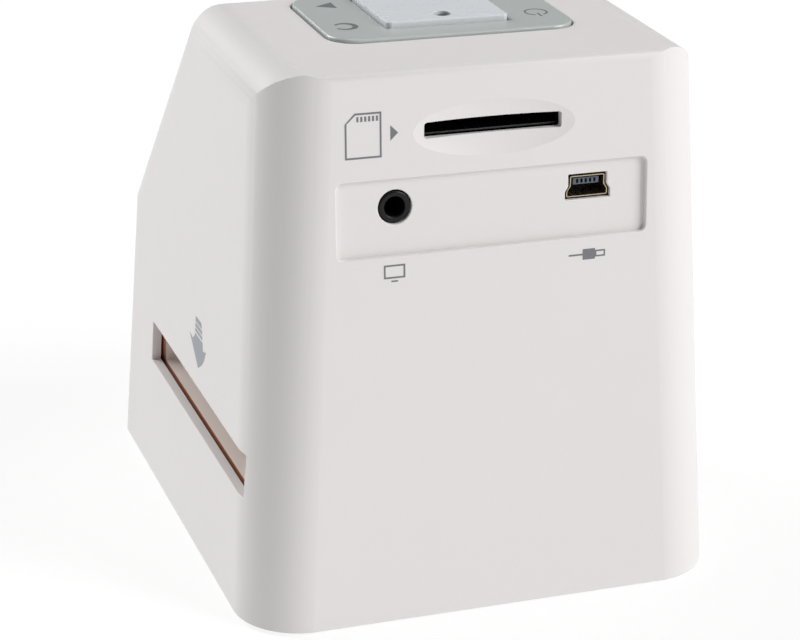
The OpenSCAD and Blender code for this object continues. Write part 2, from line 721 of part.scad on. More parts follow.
// ---------------------------------------------------------------- rear sockets

jack_body_w = 6.4;
jack_body_l = jack_bore_l + 1;
jack_face_y = rear_y(jack_z + jack_body_h / 2, wall) - 0.3;
jack_nose_y = rear_y(jack_z) - port_depth - 0.1;
module av_jack() color("black") lifted() translate([socket_x, 0, jack_z]) difference() {
    union() {
        translate([0, jack_face_y - jack_body_l / 2, -jack_body_h / 2])
            block(jack_body_w, jack_body_l, jack_body_h);
        translate([0, jack_face_y - join, 0]) rotate([-90, 0, 0])
            cylinder(r = jack_nose_r, h = jack_nose_y - jack_face_y + join);
    }
    translate([0, jack_nose_y - jack_bore_l, 0]) rotate([-90, 0, 0])
        cylinder(r = jack_bore_r, h = jack_bore_l + cut);
}

usb_l = 9.2;
usb_mouth_y = rear_y(usb_z) - port_depth - 0.3;
usb_shell_t = 0.35;
module usb_shell() color("tan") lifted() translate([-socket_x, usb_mouth_y, usb_z]) rotate([90, 0, 0])
    difference() {
        linear_extrude(usb_l) usb_outline(0);
        translate([0, 0, -cut]) linear_extrude(usb_l + 2 * cut) usb_outline(-usb_shell_t);
    }

tongue_w = 4.6;
tongue_z = 0.35;
tongue_t = 0.9;
usb_back_t = 1.6;
module usb_insulator() color("black") lifted() translate([-socket_x, usb_mouth_y, usb_z]) {
    translate([0, -usb_l + usb_back_t, 0]) rotate([90, 0, 0]) linear_extrude(usb_back_t)
        usb_outline(-usb_shell_t);
    translate([-tongue_w / 2, -usb_l + usb_back_t - join, tongue_z])
        cube([tongue_w, usb_l - usb_back_t - 0.8 + join, tongue_t]);
}

contact_pitch = 0.8;
module usb_contacts() color("gold") lifted() translate([-socket_x, usb_mouth_y, usb_z])
    for (i = [-2:2]) translate([i * contact_pitch - 0.2, -usb_l + usb_back_t, tongue_z - 0.15])
        cube([0.4, usb_l - usb_back_t - 1.2, 0.15]);

// ---------------------------------------------------------------- main board

main_front = spacer_front_y - 9;
main_rear = rear_y(main_top, wall) - 0.6;
module main_board() color("seagreen") lifted() difference() {
    translate([0, (main_front + main_rear) / 2, main_z])
        rounded_block(main_board_w, main_rear - main_front, board_t, 5);
    at_spacers() translate([0, 0, main_z - cut]) cylinder(r = small_screw_r + fit_gap, h = board_t + 2 * cut);
}

// Chips on the main board: middle x and y, width, depth and height
processor = [-13, 12, 14, 14, 1.4];
memory_chip = [10, 14, 11, 8, 1];
flash_chip = [10, 26, 12, 10, 1];
power_coil = [-13, 27, 7, 5, 2.2];
module board_chips() color("black") lifted() translate([0, 0, main_top])
    for (c = [processor, memory_chip, flash_chip, power_coil])
        translate([c[0], c[1], 0]) block(c[2], c[3], c[4]);

module main_board_screws() color("silver") lifted() at_spacers() translate([0, 0, main_z])
    screw_up(small_screw_r, board_t + main_screw_l, small_head_r, small_head_h);

led_ribbon_x = -6;
led_ribbon_w = 6;
sensor_ribbon_x = 6;
sensor_ribbon_w = 10;
sensor_socket_out = 9;                      // from the lens axis to the socket on the sensor board
sensor_socket_y = film_y + sensor_socket_out;
led_socket_y = film_y + light_d / 2 + socket_d / 2;
module ribbon_sockets() color("ivory") lifted() {
    translate([0, lcd_socket_y, main_z - socket_t]) block(18, socket_d, socket_t);
    translate([0, key_socket_y, main_top]) block(16, socket_d, socket_t);
    translate([0, key_socket_y, key_board_z - socket_t]) block(16, socket_d, socket_t);
    translate([led_ribbon_x, mid_socket_y, main_z - socket_t]) block(led_ribbon_w + 2, socket_d, socket_t);
    translate([led_ribbon_x, led_socket_y, led_board_z + led_board_t])
        block(led_ribbon_w + 2, socket_d - 1, socket_t);
    translate([sensor_ribbon_x, mid_socket_y, main_z - socket_t])
        block(sensor_ribbon_w + 2, socket_d, socket_t);
    translate([sensor_ribbon_x, sensor_socket_y, sensor_top]) block(sensor_ribbon_w + 2, socket_d, socket_t);
}

// ---------------------------------------------------------------- film guides

ball_x = 14;
ball_edge = 3.5;                            // from the ball to the side of the channel
ball_y = film_y + channel_w / 2 - ball_edge;
ball_z = lid_z + ball_r - ball_proud;
ball_fit = 0.08;
detent_wall = 1.3;
spring_wire_r = 0.14;
spring_r = ball_r - 0.55;
spring_l = 3.2;
spring_turns = 4;
spring_z = ball_z + sqrt(pow(ball_r + spring_wire_r, 2) - spring_r * spring_r) - spring_wire_r + fit_gap;
cap_z = spring_z + spring_l + fit_gap;
cap_h = 1.5;
bore_r = ball_r + 1.2 * ball_fit;

module film_guide_lower() color("white") lifted() difference() {
    translate([0, film_y, guide_z])
        rounded_block(2 * guide_half_x, channel_w + 2 * rail_w, guide_floor_t + channel_h, guide_corner_r);
    translate([0, film_y, channel_z]) block(2 * guide_half_x + 2 * cut, channel_w, channel_h + cut);
    translate([0, film_y, guide_z - cut]) block(frame_l, frame_w, guide_floor_t + 2 * cut);
    translate([0, film_y, guide_z - cut]) block(frame_l + 4, frame_w + 4, light_step + cut);
    at_corners(guide_post_x, rail_y, film_y) translate([0, 0, guide_z - cut])
        cylinder(r = guide_screw_r + fit_gap, h = guide_floor_t + channel_h + 2 * cut);
}

module film_guide_upper() color("white") lifted() difference() {
    union() {
        translate([0, film_y, lid_z])
            rounded_block(2 * guide_half_x, channel_w + 2 * rail_w, guide_lid_t, guide_corner_r);
        translate([ball_x, ball_y, lid_z]) cylinder(r = ball_r + detent_wall, h = cap_z + cap_h - lid_z);
    }
    // the ball's seat, whose lower lip keeps the ball in, and the bore for its spring
    translate([ball_x, ball_y, ball_z]) {
        sphere(ball_r + ball_fit);
        cylinder(r = bore_r, h = cap_z + cap_h - ball_z + cut);
    }
    translate([0, film_y, lid_z - cut]) block(frame_l + 1, frame_w + 1, guide_lid_t + 2 * cut);
    at_corners(guide_post_x, rail_y, film_y) translate([0, 0, lid_z - cut])
        cylinder(r = guide_screw_r + fit_gap, h = guide_lid_t + 2 * cut);
    at_corners(tower_screw_x, tower_screw_y, film_y) translate([0, 0, lid_z - cut])
        cylinder(r = small_screw_r + screw_gap, h = guide_lid_t + 2 * cut);
}

module guide_screws() color("silver") lifted() at_corners(guide_post_x, rail_y, film_y)
    translate([0, 0, lid_top])
        screw_down(guide_screw_r, lid_top - guide_z + guide_screw_l, base_head_r, guide_head_h);

module detent_ball() color("silver") lifted() translate([ball_x, ball_y, ball_z]) sphere(ball_r);

module detent_spring() color("silver") lifted() translate([ball_x, ball_y, spring_z])
    coil_spring(spring_r, spring_wire_r, spring_l, spring_turns);

// A plug that closes the bore, and that the ball's spring presses on
module detent_cap() color("gray") lifted() translate([ball_x, ball_y, cap_z])
    cylinder(r = bore_r - ball_fit / 2, h = cap_h);

// ---------------------------------------------------------------- camera

tower_wall = 1.6;
tower_w = frame_l + 6;
tower_d = frame_w + 6;
tower_top_t = 2;
tower_flange = 2;
tower_screw_x = tower_w / 2 + 3;
tower_screw_y = tower_d / 2 - 3;
holder_w = 16;
holder_h = 12;
holder_z = tower_top;
holder_top = holder_z + holder_h;
barrel_low = tower_top - tower_top_t - 4;
barrel_l = 13;
sensor_t = 1.2;
sensor_top = holder_top + led_board_t;
lug_x = 11;

module camera_tower() color("black") lifted() difference() {
    union() {
        translate([0, film_y, lid_top]) block(tower_w, tower_d, tower_h);
        translate([0, film_y, lid_top]) block(tower_w + 12, tower_d, tower_flange);
    }
    translate([0, film_y, lid_top - cut])
        block(tower_w - 2 * tower_wall, tower_d - 2 * tower_wall, tower_h - tower_top_t + cut);
    translate([0, film_y, lid_top]) cylinder(r = barrel_r + 0.8, h = tower_h + cut);
    at_corners(tower_screw_x, tower_screw_y, film_y) translate([0, 0, lid_top - cut])
        cylinder(r = small_screw_r + fit_gap, h = tower_flange + 2 * cut);
}

module tower_screws() color("silver") lifted() at_corners(tower_screw_x, tower_screw_y, film_y)
    translate([0, 0, lid_top + tower_flange])
        screw_down(small_screw_r, tower_flange + guide_lid_t - 0.6, small_head_r, small_head_h);

module lens_holder() color("black") lifted() translate([0, film_y, holder_z]) difference() {
    union() {
        block(holder_w, holder_w, holder_h);
        translate([0, 0, holder_h - 4]) block(2 * lug_x + 5, 5, 4);
    }
    translate([0, 0, -cut]) cylinder(r = barrel_r + 0.05, h = holder_h - 3 + cut);
    translate([0, 0, holder_h - 3 - join]) block(11, 11, 3 + join + cut);
    for (sx = [-1, 1]) translate([sx * lug_x, 0, holder_h - 4 - cut])
        cylinder(r = small_screw_r + screw_gap, h = 4 + 2 * cut);
}

glass_r = 4.2;
glass_t = 2.4;
module lens_barrel() color("dimgray") lifted() translate([0, film_y, barrel_low]) difference() {
    union() {
        cylinder(r = barrel_r, h = barrel_l);
        cylinder(r = barrel_r + 0.5, h = 2.5);
    }
    translate([0, 0, -cut]) cylinder(r = glass_r, h = glass_t + 0.6 + cut);
    translate([0, 0, -cut]) cylinder(r = 3, h = barrel_l + 2 * cut);
}

// A plano-convex lens, its curved face towards the film
module lens_glass() color("lightcyan") lifted() translate([0, film_y, barrel_low + 0.6]) intersection() {
    cylinder(r = glass_r - 0.02, h = glass_t);
    translate([0, 0, 10]) sphere(10);
}

sensor_board_w = 30;
sensor_board_d = 26;
module sensor_board() color("seagreen") lifted() translate([0, film_y, holder_top]) difference() {
    block(sensor_board_w, sensor_board_d, led_board_t);
    for (sx = [-1, 1]) translate([sx * lug_x, 0, -cut])
        cylinder(r = small_screw_r + fit_gap, h = led_board_t + 2 * cut);
}

sensor_w = 9;
sensor_d = 8;
module image_sensor() color("black") lifted() translate([0, film_y, holder_top - sensor_t])
    block(sensor_w, sensor_d, sensor_t);

module sensor_screws() color("silver") lifted() for (sx = [-1, 1]) translate([sx * lug_x, film_y, sensor_top])
    screw_down(small_screw_r, 4.4, small_head_r, small_head_h);

sensor_ribbon_out = 6;                      // where the cable starts to turn, behind its sockets' middle
sensor_ribbon_far = 9;                      // the rear of its loop
sensor_ribbon_turn = 3;
module sensor_ribbon() color("darkorange") lifted() strip([
    [sensor_socket_y + socket_d / 2, sensor_top + cable_drop],
    [sensor_socket_y + sensor_ribbon_out, sensor_top + cable_drop],
    [sensor_socket_y + sensor_ribbon_far, sensor_top + sensor_ribbon_turn],
    [sensor_socket_y + sensor_ribbon_far, main_z - sensor_ribbon_turn],
    [mid_socket_y + sensor_ribbon_out, main_z - cable_drop],
    [mid_socket_y + socket_d / 2, main_z - cable_drop]], sensor_ribbon_x, sensor_ribbon_w);

// ---------------------------------------------------------------- light under the film

module light_diffuser() color("white") lifted() translate([0, film_y, diffuser_z])
    block(light_w, light_d, diffuser_t);

module reflector_box() color("white") lifted() translate([0, film_y, led_board_z + led_board_t])
difference() {
    block(light_w, light_d, diffuser_z - led_board_z - led_board_t);
    translate([0, 0, -cut]) block(light_w - 3, light_d - 3, diffuser_z);
    at_corners(led_post_x, led_post_y) translate([0, 0, -cut]) cylinder(r = small_head_r + 0.6, h = 3 + cut);
}

module led_board() color("white") lifted() translate([0, film_y, led_board_z]) difference() {
    block(led_board_w, led_board_d, led_board_t);
    at_corners(led_post_x, led_post_y) translate([0, 0, -cut])
        cylinder(r = small_screw_r + fit_gap, h = led_board_t + 2 * cut);
}

backlight_x = 10;
backlight_y = 6;
backlight_w = 5;
backlight_h = 1.4;
module backlight_leds() color("gold") lifted() at_corners(backlight_x, backlight_y, film_y)
    translate([0, 0, led_board_z + led_board_t]) block(backlight_w, backlight_w, backlight_h);

module led_board_screws() color("silver") lifted() at_corners(led_post_x, led_post_y, film_y)
    translate([0, 0, led_board_z + led_board_t])
        screw_down(small_screw_r, led_board_t + led_post_h - 0.2, small_head_r, small_head_h);

riser_y = film_y + channel_w / 2 + rail_w + 1.3;
riser_top = main_z - 17;                    // where the cable leaves the rear wall for the main board
led_cable_z = led_board_z + led_board_t + cable_drop;
module led_ribbon() color("darkorange") lifted() strip([[led_socket_y + (socket_d - 1) / 2, led_cable_z],
    [led_socket_y + 6, led_cable_z], [riser_y - 4, guide_z - 9], [riser_y, guide_z - 4],
    [riser_y, lid_top + 2], [rear_y(riser_top, wall) - 5, riser_top], [mid_socket_y + 14, main_z - 6],
    [mid_socket_y + 7, main_z - cable_drop], [mid_socket_y + socket_d / 2, main_z - cable_drop]],
    led_ribbon_x, led_ribbon_w);

casing();
base_plate();
rubber_feet();
base_screws();
lcd_window();
lcd_panel();
lcd_frame();
lcd_screws();
lcd_ribbon();
key_plate();
key_mat();
scan_button();
light_pipe();
status_led();
key_board();
key_domes();
board_spacers();
key_ribbon();
card_shell();
card_base();
card_slider();
av_jack();
usb_shell();
usb_insulator();
usb_contacts();
main_board();
board_chips();
main_board_screws();
ribbon_sockets();
film_guide_lower();
film_guide_upper();
guide_screws();
detent_ball();
detent_spring();
detent_cap();
camera_tower();
tower_screws();
lens_holder();
lens_barrel();
lens_glass();
sensor_board();
image_sensor();
sensor_screws();
sensor_ribbon();
light_diffuser();
reflector_box();
led_board();
backlight_leds();
led_board_screws();
led_ribbon();
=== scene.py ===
"""Film negative scanner: casing, keys, sockets, window and finishes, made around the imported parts."""
import json
from contextlib import contextmanager
from math import cos, pi, radians, sin, tan

import bmesh
import bpy
from mathutils import Matrix, Vector


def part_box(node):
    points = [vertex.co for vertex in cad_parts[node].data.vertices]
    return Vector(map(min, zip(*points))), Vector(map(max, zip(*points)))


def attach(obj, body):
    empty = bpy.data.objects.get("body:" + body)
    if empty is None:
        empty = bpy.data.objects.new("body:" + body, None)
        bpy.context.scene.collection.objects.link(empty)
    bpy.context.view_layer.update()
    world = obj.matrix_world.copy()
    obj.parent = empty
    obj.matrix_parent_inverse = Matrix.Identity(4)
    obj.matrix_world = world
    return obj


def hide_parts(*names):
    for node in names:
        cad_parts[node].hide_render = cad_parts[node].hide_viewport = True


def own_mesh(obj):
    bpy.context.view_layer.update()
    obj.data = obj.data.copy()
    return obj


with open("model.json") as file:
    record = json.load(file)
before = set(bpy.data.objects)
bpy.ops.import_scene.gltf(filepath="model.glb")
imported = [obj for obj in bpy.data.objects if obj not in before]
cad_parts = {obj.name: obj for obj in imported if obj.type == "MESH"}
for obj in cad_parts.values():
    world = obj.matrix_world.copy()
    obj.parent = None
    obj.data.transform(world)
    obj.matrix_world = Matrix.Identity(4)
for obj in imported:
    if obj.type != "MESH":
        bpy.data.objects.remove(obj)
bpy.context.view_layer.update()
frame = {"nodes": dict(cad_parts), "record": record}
bpy.ops.object.select_all(action="DESELECT")

# ---------------------------------------------------------------- sizes
# Millimetres, with heights from the casing's bottom edge.
# settle() brings a finished piece to metres and lifts it by what the feet stand proud.

mm = 0.001
foot_proud = 0.6                # the feet reach this far below the casing
body_w, body_d, body_h = 89, 96.6, 98
side_lean, rear_lean, front_lean = radians(2.85), radians(4.56), radians(2.13)
ridge_z = 52                    # where the upright front meets the slope
slope_a = radians(50.7)
wall = 1.8
rear_corner_r, front_corner_r = 11.8, 5
top_side_r, top_rear_r, top_front_r, ridge_r = 8, 1.5, 3, 6

port_w, port_h, port_depth, port_z, port_r = 56.2, 13.4, 1, 72.9, 1.2
socket_x = 17.5
jack_nose_r, jack_bore_r = 2.8, 1.8
jack_w, jack_h, jack_l = 6.4, 4.9, 12
usb_w, usb_h, usb_l, usb_sheet = 7.7, 3.9, 9.2, 0.24
usb_z = port_z + 2
jack_z = usb_z + usb_h / 2 - jack_h / 2         # both sockets have their tops at one height
card_slot_w, card_slot_h, card_z = 24.8, 2.5, 87.4
dish_w, dish_h, dish_depth = 29.2, 9.6, 1.2
dish_sunk = 0.4                 # the dish's middle is this far below the slot's
card_room, card_base_t, board_t = 2.25, 0.4, 1.6
board_top = card_z + card_room / 2 + card_base_t + board_t      # top of the key board

film_y = 5.7
slot_w, slot_z, slot_top = 64.2, 22.4, 30.3
channel_w, channel_z = 61, 22.6
frame_l, frame_w = 37, 25       # the light's opening in the film guide

key_w, key_d, key_r, key_gap, key_proud = 45.2, 29.4, 5, 0.35, 0.6
key_y = 23.3 - key_d / 2
scan_w, scan_d, scan_r, scan_proud = 22.6, 20.6, 1, 1
scan_rear_y = 17.6
scan_y = scan_rear_y - scan_d / 2
pipe_r = 1.6
pipe_y = scan_rear_y - 3.4

window_w, window_h, window_t, window_r = 64, 46, 1.2, 2
view_w, view_h = 49, 36.8
display_pad = 1.2

base_t = 2.4
foot_r, foot_t = 5, 1.4
foot_x, foot_y = body_w / 2 - 15.5, body_d / 2 - 16.3

near = 0.001                    # places closer than this count as one
alike = 0.9999                  # directions whose dot product is over this count as one
fit = 0.1                       # gap between a piece and the pocket that holds it
over = 1                        # how far a cutter runs past the face that it opens
rim_r = 0.22                    # small rounding on moulded edges

# Which way each outer face looks
TOP = Vector((0, 0, 1))
REAR = Vector((0, cos(rear_lean), sin(rear_lean)))
FRONT = Vector((0, -cos(front_lean), sin(front_lean)))
SLOPE = Vector((0, -sin(slope_a), cos(slope_a)))
ARROW_SIDE = Vector((cos(side_lean), 0, sin(side_lean)))
PLAIN_SIDE = Vector((-cos(side_lean), 0, sin(side_lean)))


def half_w(z, inset=0):
    """Half the casing's width at a height, measured inset inside its faces."""
    return body_w / 2 - z * tan(side_lean) - inset / cos(side_lean)


def rear_y(z, inset=0):
    return body_d / 2 - z * tan(rear_lean) - inset / cos(rear_lean)


def front_y(z, inset=0):
    return -body_d / 2 + z * tan(front_lean) + inset / cos(front_lean)


def slope_y(z, inset=0):
    return front_y(ridge_z) + (z - ridge_z) / tan(slope_a) + inset / sin(slope_a)


# Places on the faces: x and y lie in the face and z points out of it
slope_mid_z = (ridge_z + body_h) / 2
on_slope = Matrix.Translation((0, slope_y(slope_mid_z), slope_mid_z)) @ Matrix.Rotation(slope_a, 4, "X")
on_rear = Matrix(((-1, 0, 0, 0), (0, -sin(rear_lean), cos(rear_lean), rear_y(0)),
                  (0, cos(rear_lean), sin(rear_lean), 0), (0, 0, 0, 1)))
on_side = Matrix(((0, -sin(side_lean), cos(side_lean), half_w(0)), (1, 0, 0, 0),
                  (0, cos(side_lean), sin(side_lean), 0), (0, 0, 0, 1)))
on_plate = Matrix.Translation((0, 0, body_h + key_proud))

# Screws, and the bosses that hold them
base_screw_x, base_screw_y = half_w(0, wall) - 6.7, rear_y(0, wall) - 7.5
base_screw_r, base_screw_l, base_head_r, base_head_h = 1.3, 9, 2.3, 1.2
base_boss_r, base_boss_h = 3, 14
spacer_x, spacer_y, spacer_mid_y = 29, 12.75, 11.75
spacer_boss_r, stud_r, stud_hole_l = 2.4, 1.2, 5
lcd_boss_x, lcd_boss_y, lcd_boss_r, lcd_boss_h = window_w / 2 + 2.4, 16, 2.1, 4
lcd_screw_r, lcd_t = 0.9, 2.4
screw_gap = 0.03                # gap between a screw and its pilot hole


def at_rear(x, z, out=0):
    """A place on the rear face, its y up the face."""
    return on_rear @ Matrix.Translation((-x, z / cos(rear_lean), out))


def into_body(x, y, z):
    """A place whose z points straight back, out of the rear, and whose y points up."""
    return Matrix(((-1, 0, 0, x), (0, 0, 1, y), (0, 1, 0, z), (0, 0, 0, 1)))


# ---------------------------------------------------------------- modelling


def select_only(piece):
    bpy.ops.object.select_all(action="DESELECT")
    piece.select_set(True)
    bpy.context.view_layer.objects.active = piece


def just_added(name):
    """Names a new primitive and brings its place into its mesh."""
    bpy.ops.object.transform_apply(location=True, rotation=True, scale=True)
    piece = bpy.context.object
    piece.name = name
    piece.data.name = name
    return piece


def cube(name, low, high):
    low, high = Vector(low), Vector(high)
    bpy.ops.object.select_all(action="DESELECT")
    bpy.ops.mesh.primitive_cube_add(size=1, location=(low + high) / 2, scale=high - low)
    return just_added(name)


def cylinder(name, r, height, place=Matrix(), sides=48):
    """A cylinder that stands on the place's origin."""
    bpy.ops.object.select_all(action="DESELECT")
    bpy.ops.mesh.primitive_cylinder_add(vertices=sides, radius=r, depth=height, location=(0, 0, height / 2))
    piece = just_added(name)
    piece.data.transform(place)
    return piece


@contextmanager
def editing(piece, kind="FACE", pick=lambda part: True):
    """Edit mode, with only the picked faces or edges selected."""
    select_only(piece)
    bpy.ops.object.mode_set(mode="EDIT")
    bpy.ops.mesh.select_mode(type=kind)
    bpy.ops.mesh.select_all(action="DESELECT")
    form = bmesh.from_edit_mesh(piece.data)
    form.normal_update()
    for part in {"FACE": form.faces, "EDGE": form.edges}[kind]:
        if pick(part):
            part.select_set(True)
    form.select_flush_mode()
    bmesh.update_edit_mesh(piece.data)
    yield
    bpy.ops.object.mode_set(mode="OBJECT")


def bevel(reach, segments):
    """Rounds the edges selected in edit mode."""
    bpy.ops.mesh.bevel(offset=reach, offset_type="OFFSET", segments=segments, profile=0.5,
                       affect="EDGES", clamp_overlap=False)


def between(first, second):
    """Picks the edges where a face that looks along first meets one that looks along second."""
    def pick(edge):
        if len(edge.link_faces) != 2:
            return False
        one, other = (face.normal for face in edge.link_faces)
        return ((one.dot(first) > alike and other.dot(second) > alike)
                or (other.dot(first) > alike and one.dot(second) > alike))
    return pick


def round_between(piece, first, second, r, segments):
    """Rounds the edge between two faces to a radius."""
    with editing(piece, "EDGE", between(first, second)):
        bevel(r * tan(first.angle(second) / 2), segments)


def upright(edge):
    """Picks the edges that run along z."""
    along = edge.verts[0].co - edge.verts[1].co
    return abs(along.z) > 0.999 * along.length


def at_height(z):
    """Picks the edges that lie at one height."""
    return lambda edge: all(abs(v.co.z - z) < near for v in edge.verts)


def rounded_block(name, w, d, height, r, place=Matrix(), segments=8, top_r=0):
    """A block that stands on the place, with rounded uprights and, where top_r is given, a rounded top."""
    piece = cube(name, (-w / 2, -d / 2, 0), (w / 2, d / 2, height))
    with editing(piece, "EDGE", upright):
        bevel(r, segments)
    if top_r:
        with editing(piece, "EDGE", at_height(height)):
            bevel(top_r, 4)
    piece.data.transform(place)
    return piece


def prism(name, outline, height, place=Matrix()):
    """An outline of corner points, drawn out to a height."""
    bpy.ops.object.select_all(action="DESELECT")
    bpy.ops.mesh.primitive_circle_add(vertices=len(outline), fill_type="NGON")
    piece = just_added(name)
    for vertex, (x, y) in zip(piece.data.vertices, outline):
        vertex.co = (x, y, 0)
    with editing(piece):
        bpy.ops.mesh.extrude_region_move(TRANSFORM_OT_translate={"value": (0, 0, height)})
        bpy.ops.mesh.select_all(action="SELECT")
        bpy.ops.mesh.normals_make_consistent(inside=False)
    piece.data.transform(place)
    return piece


def slice_off(piece, point, normal):
    """Cuts away what lies beyond a plane and closes the cut."""
    with editing(piece):
        bpy.ops.mesh.bisect(plane_co=point, plane_no=normal, use_fill=True, clear_outer=True)


def carve(piece, *tools, how="DIFFERENCE"):
    """Takes the tools away from a piece, or joins or intersects it with them."""
    for tool in tools:
        select_only(piece)
        step = piece.modifiers.new("carve", "BOOLEAN")
        step.operation = how
        step.solver = "EXACT"
        step.material_mode = "TRANSFER"
        step.object = tool
        bpy.ops.object.modifier_apply(modifier=step.name)
        bpy.data.objects.remove(tool)
    return piece


def shade(piece, angle=30):
    """Smooth shading that keeps flat faces flat."""
    select_only(piece)
    bpy.ops.object.shade_smooth_by_angle(angle=radians(angle), keep_sharp_edges=True)
    step = piece.modifiers.new("even shading", "WEIGHTED_NORMAL")
    step.keep_sharp = True
    bpy.ops.object.modifier_apply(modifier=step.name)


def settle(piece, body, finish, replaces=()):
    """Brings a piece to metres on its feet, and gives it its finish and the body that it rides on."""
    piece.data.transform(Matrix.Scale(mm, 4) @ Matrix.Translation((0, 0, foot_proud)))
    if finish:
        piece.data.materials.clear()
        piece.data.materials.append(finish)
    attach(piece, body)
    if replaces:
        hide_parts(*replaces)


def copies(piece, places):
    """The piece at each place, each copy with its own mesh."""
    made = []
    for number, place in enumerate(places, 1):
        copy = piece.copy()
        copy.data = piece.data.copy()
        copy.name = f"{piece.name}_{number}"
        copy.data.transform(place)
        bpy.context.scene.collection.objects.link(copy)
        made.append(copy)
    bpy.data.objects.remove(piece)
    return made


def four_places(x, y, middle_y=0, z=0):
    """The four corners of a rectangle, x and y away from its middle."""
    return [Matrix.Translation((sx * x, middle_y + sy * y, z)) for sx in (-1, 1) for sy in (-1, 1)]


# ---------------------------------------------------------------- finishes


class Finish:
    """A Principled material, with helpers for what changes over its surface."""

    def __init__(self, name, colour, roughness, metallic=0.0, **sockets):
        self.name = name
        self.material = bpy.data.materials.new(name)
        self.material.use_nodes = True
        self.tree = self.material.node_tree
        self.shader = self.tree.nodes["Principled BSDF"]
        self.colour = colour
        basics = {"Base Color": (*colour, 1), "Roughness": roughness, "Metallic": metallic}
        self.set_inputs(self.shader, basics)
        self.set_inputs(self.shader, {key.replace("_", " "): value for key, value in sockets.items()})
        self.place = self.tree.nodes.new("ShaderNodeTexCoord").outputs["Object"]

    @staticmethod
    def set_inputs(node, values):
        for name, value in values.items():
            node.inputs[name].default_value = value

    def add(self, kind, inputs=None, links=None, **settings):
        node = self.tree.nodes.new(kind)
        for name, value in settings.items():
            setattr(node, name, value)
        self.set_inputs(node, inputs or {})
        for name, source in (links or {}).items():
            self.tree.links.new(source, node.inputs[name])
        return node

    def noise(self, size, detail, stretch=(1, 1, 1)):
        """Soft noise with features of about size metres."""
        place = self.add("ShaderNodeMapping", {"Scale": stretch}, {"Vector": self.place}).outputs[0]
        spots = self.add("ShaderNodeTexNoise", {"Scale": 1 / size, "Detail": detail}, {"Vector": place})
        return spots.outputs["Fac"]

    def mix(self, amount, first, second):
        """A colour that goes from first to second with amount."""
        node = self.add("ShaderNodeMix", data_type="RGBA")
        self.tree.links.new(amount, node.inputs["Factor"])
        for socket, value in ((node.inputs[6], first), (node.inputs[7], second)):
            if isinstance(value, bpy.types.NodeSocket):
                self.tree.links.new(value, socket)
            else:
                socket.default_value = (*value, 1)
        return node.outputs[2]

    def paint(self, source):
        self.tree.links.new(source, self.shader.inputs["Base Color"])

    def mottle(self, spread, size):
        """Faint patches in the colour."""
        dark = tuple(c * (1 - spread) for c in self.colour)
        light = tuple(min(c * (1 + spread), 1) for c in self.colour)
        self.base = self.mix(self.noise(size, 3.0), dark, light)
        self.paint(self.base)
        return self

    def gloss(self, low, high, size, stretch=(1, 1, 1)):
        """Roughness that wanders between two values."""
        limits = {"From Min": 0.3, "From Max": 0.7, "To Min": low, "To Max": high}
        spread = self.add("ShaderNodeMapRange", limits, {"Value": self.noise(size, 2.0, stretch)})
        self.tree.links.new(spread.outputs[0], self.shader.inputs["Roughness"])
        return self

    def grain(self, depth, size, stretch=(1, 1, 1)):
        """A fine moulded or rolled surface, as bump of this depth in metres."""
        relief = self.add("ShaderNodeBump", {"Strength": 1.0, "Distance": depth},
                          {"Height": self.noise(size, 2.0, stretch)})
        self.tree.links.new(relief.outputs[0], self.shader.inputs["Normal"])
        return self

    def band(self, axis, low, high):
        """0 before low and 1 after high along one axis, in metres, with the axis's sign left out."""
        split = self.add("ShaderNodeSeparateXYZ", links={"Vector": self.place})
        size = self.add("ShaderNodeMath", operation="ABSOLUTE", links={0: split.outputs[axis]})
        limits = {"From Min": low, "From Max": high, "To Min": 0.0, "To Max": 1.0}
        return self.add("ShaderNodeMapRange", limits, {"Value": size.outputs[0]},
                        interpolation_type="SMOOTHSTEP").outputs[0]


def casing_plastic():
    return Finish("casing_plastic", (0.80, 0.775, 0.765), 0.5, IOR=1.5).mottle(0.012, 0.03).gloss(
        0.46, 0.54, 0.003).grain(0.000012, 0.00035)


# Dark warm brown for the casing's inner faces: painted shade of the hollow behind the slots and holes,
# warm-tinted.
def casing_inside_shade():
    return Finish("casing_inside_shade", (0.50, 0.33, 0.26), 0.55).mottle(0.06, 0.01).grain(0.00002, 0.0006)


def guide_plastic():
    """Pale plastic, with its end faces painted red-brown: painted shade, warm-tinted, in the narrow gap
    beside the casing wall.
    """
    finish = Finish("guide_plastic", (0.88, 0.80, 0.75), 0.45).mottle(0.02, 0.01).grain(0.000008, 0.0004)
    pale_until, shade_from = 0.04085, 0.04095       # metres from the middle
    # The end faces far out along x take the red-brown painted shade.
    ends = finish.band("X", pale_until, shade_from)
    finish.paint(finish.mix(ends, finish.base, (0.45, 0.17, 0.09)))
    return finish


def base_plastic():
    return Finish("base_plastic", (0.72, 0.70, 0.69), 0.55).mottle(0.02, 0.01).grain(0.00003, 0.0006)


def foot_rubber():
    return Finish("foot_rubber", (0.05, 0.05, 0.052), 0.8, Specular_IOR_Level=0.3).mottle(0.1, 0.003).grain(
        0.00004, 0.0005)


def screw_steel():
    return Finish("screw_steel", (0.62, 0.62, 0.61), 0.3, 1.0).mottle(0.05, 0.002).gloss(
        0.22, 0.42, 0.0008).grain(0.000006, 0.0002)


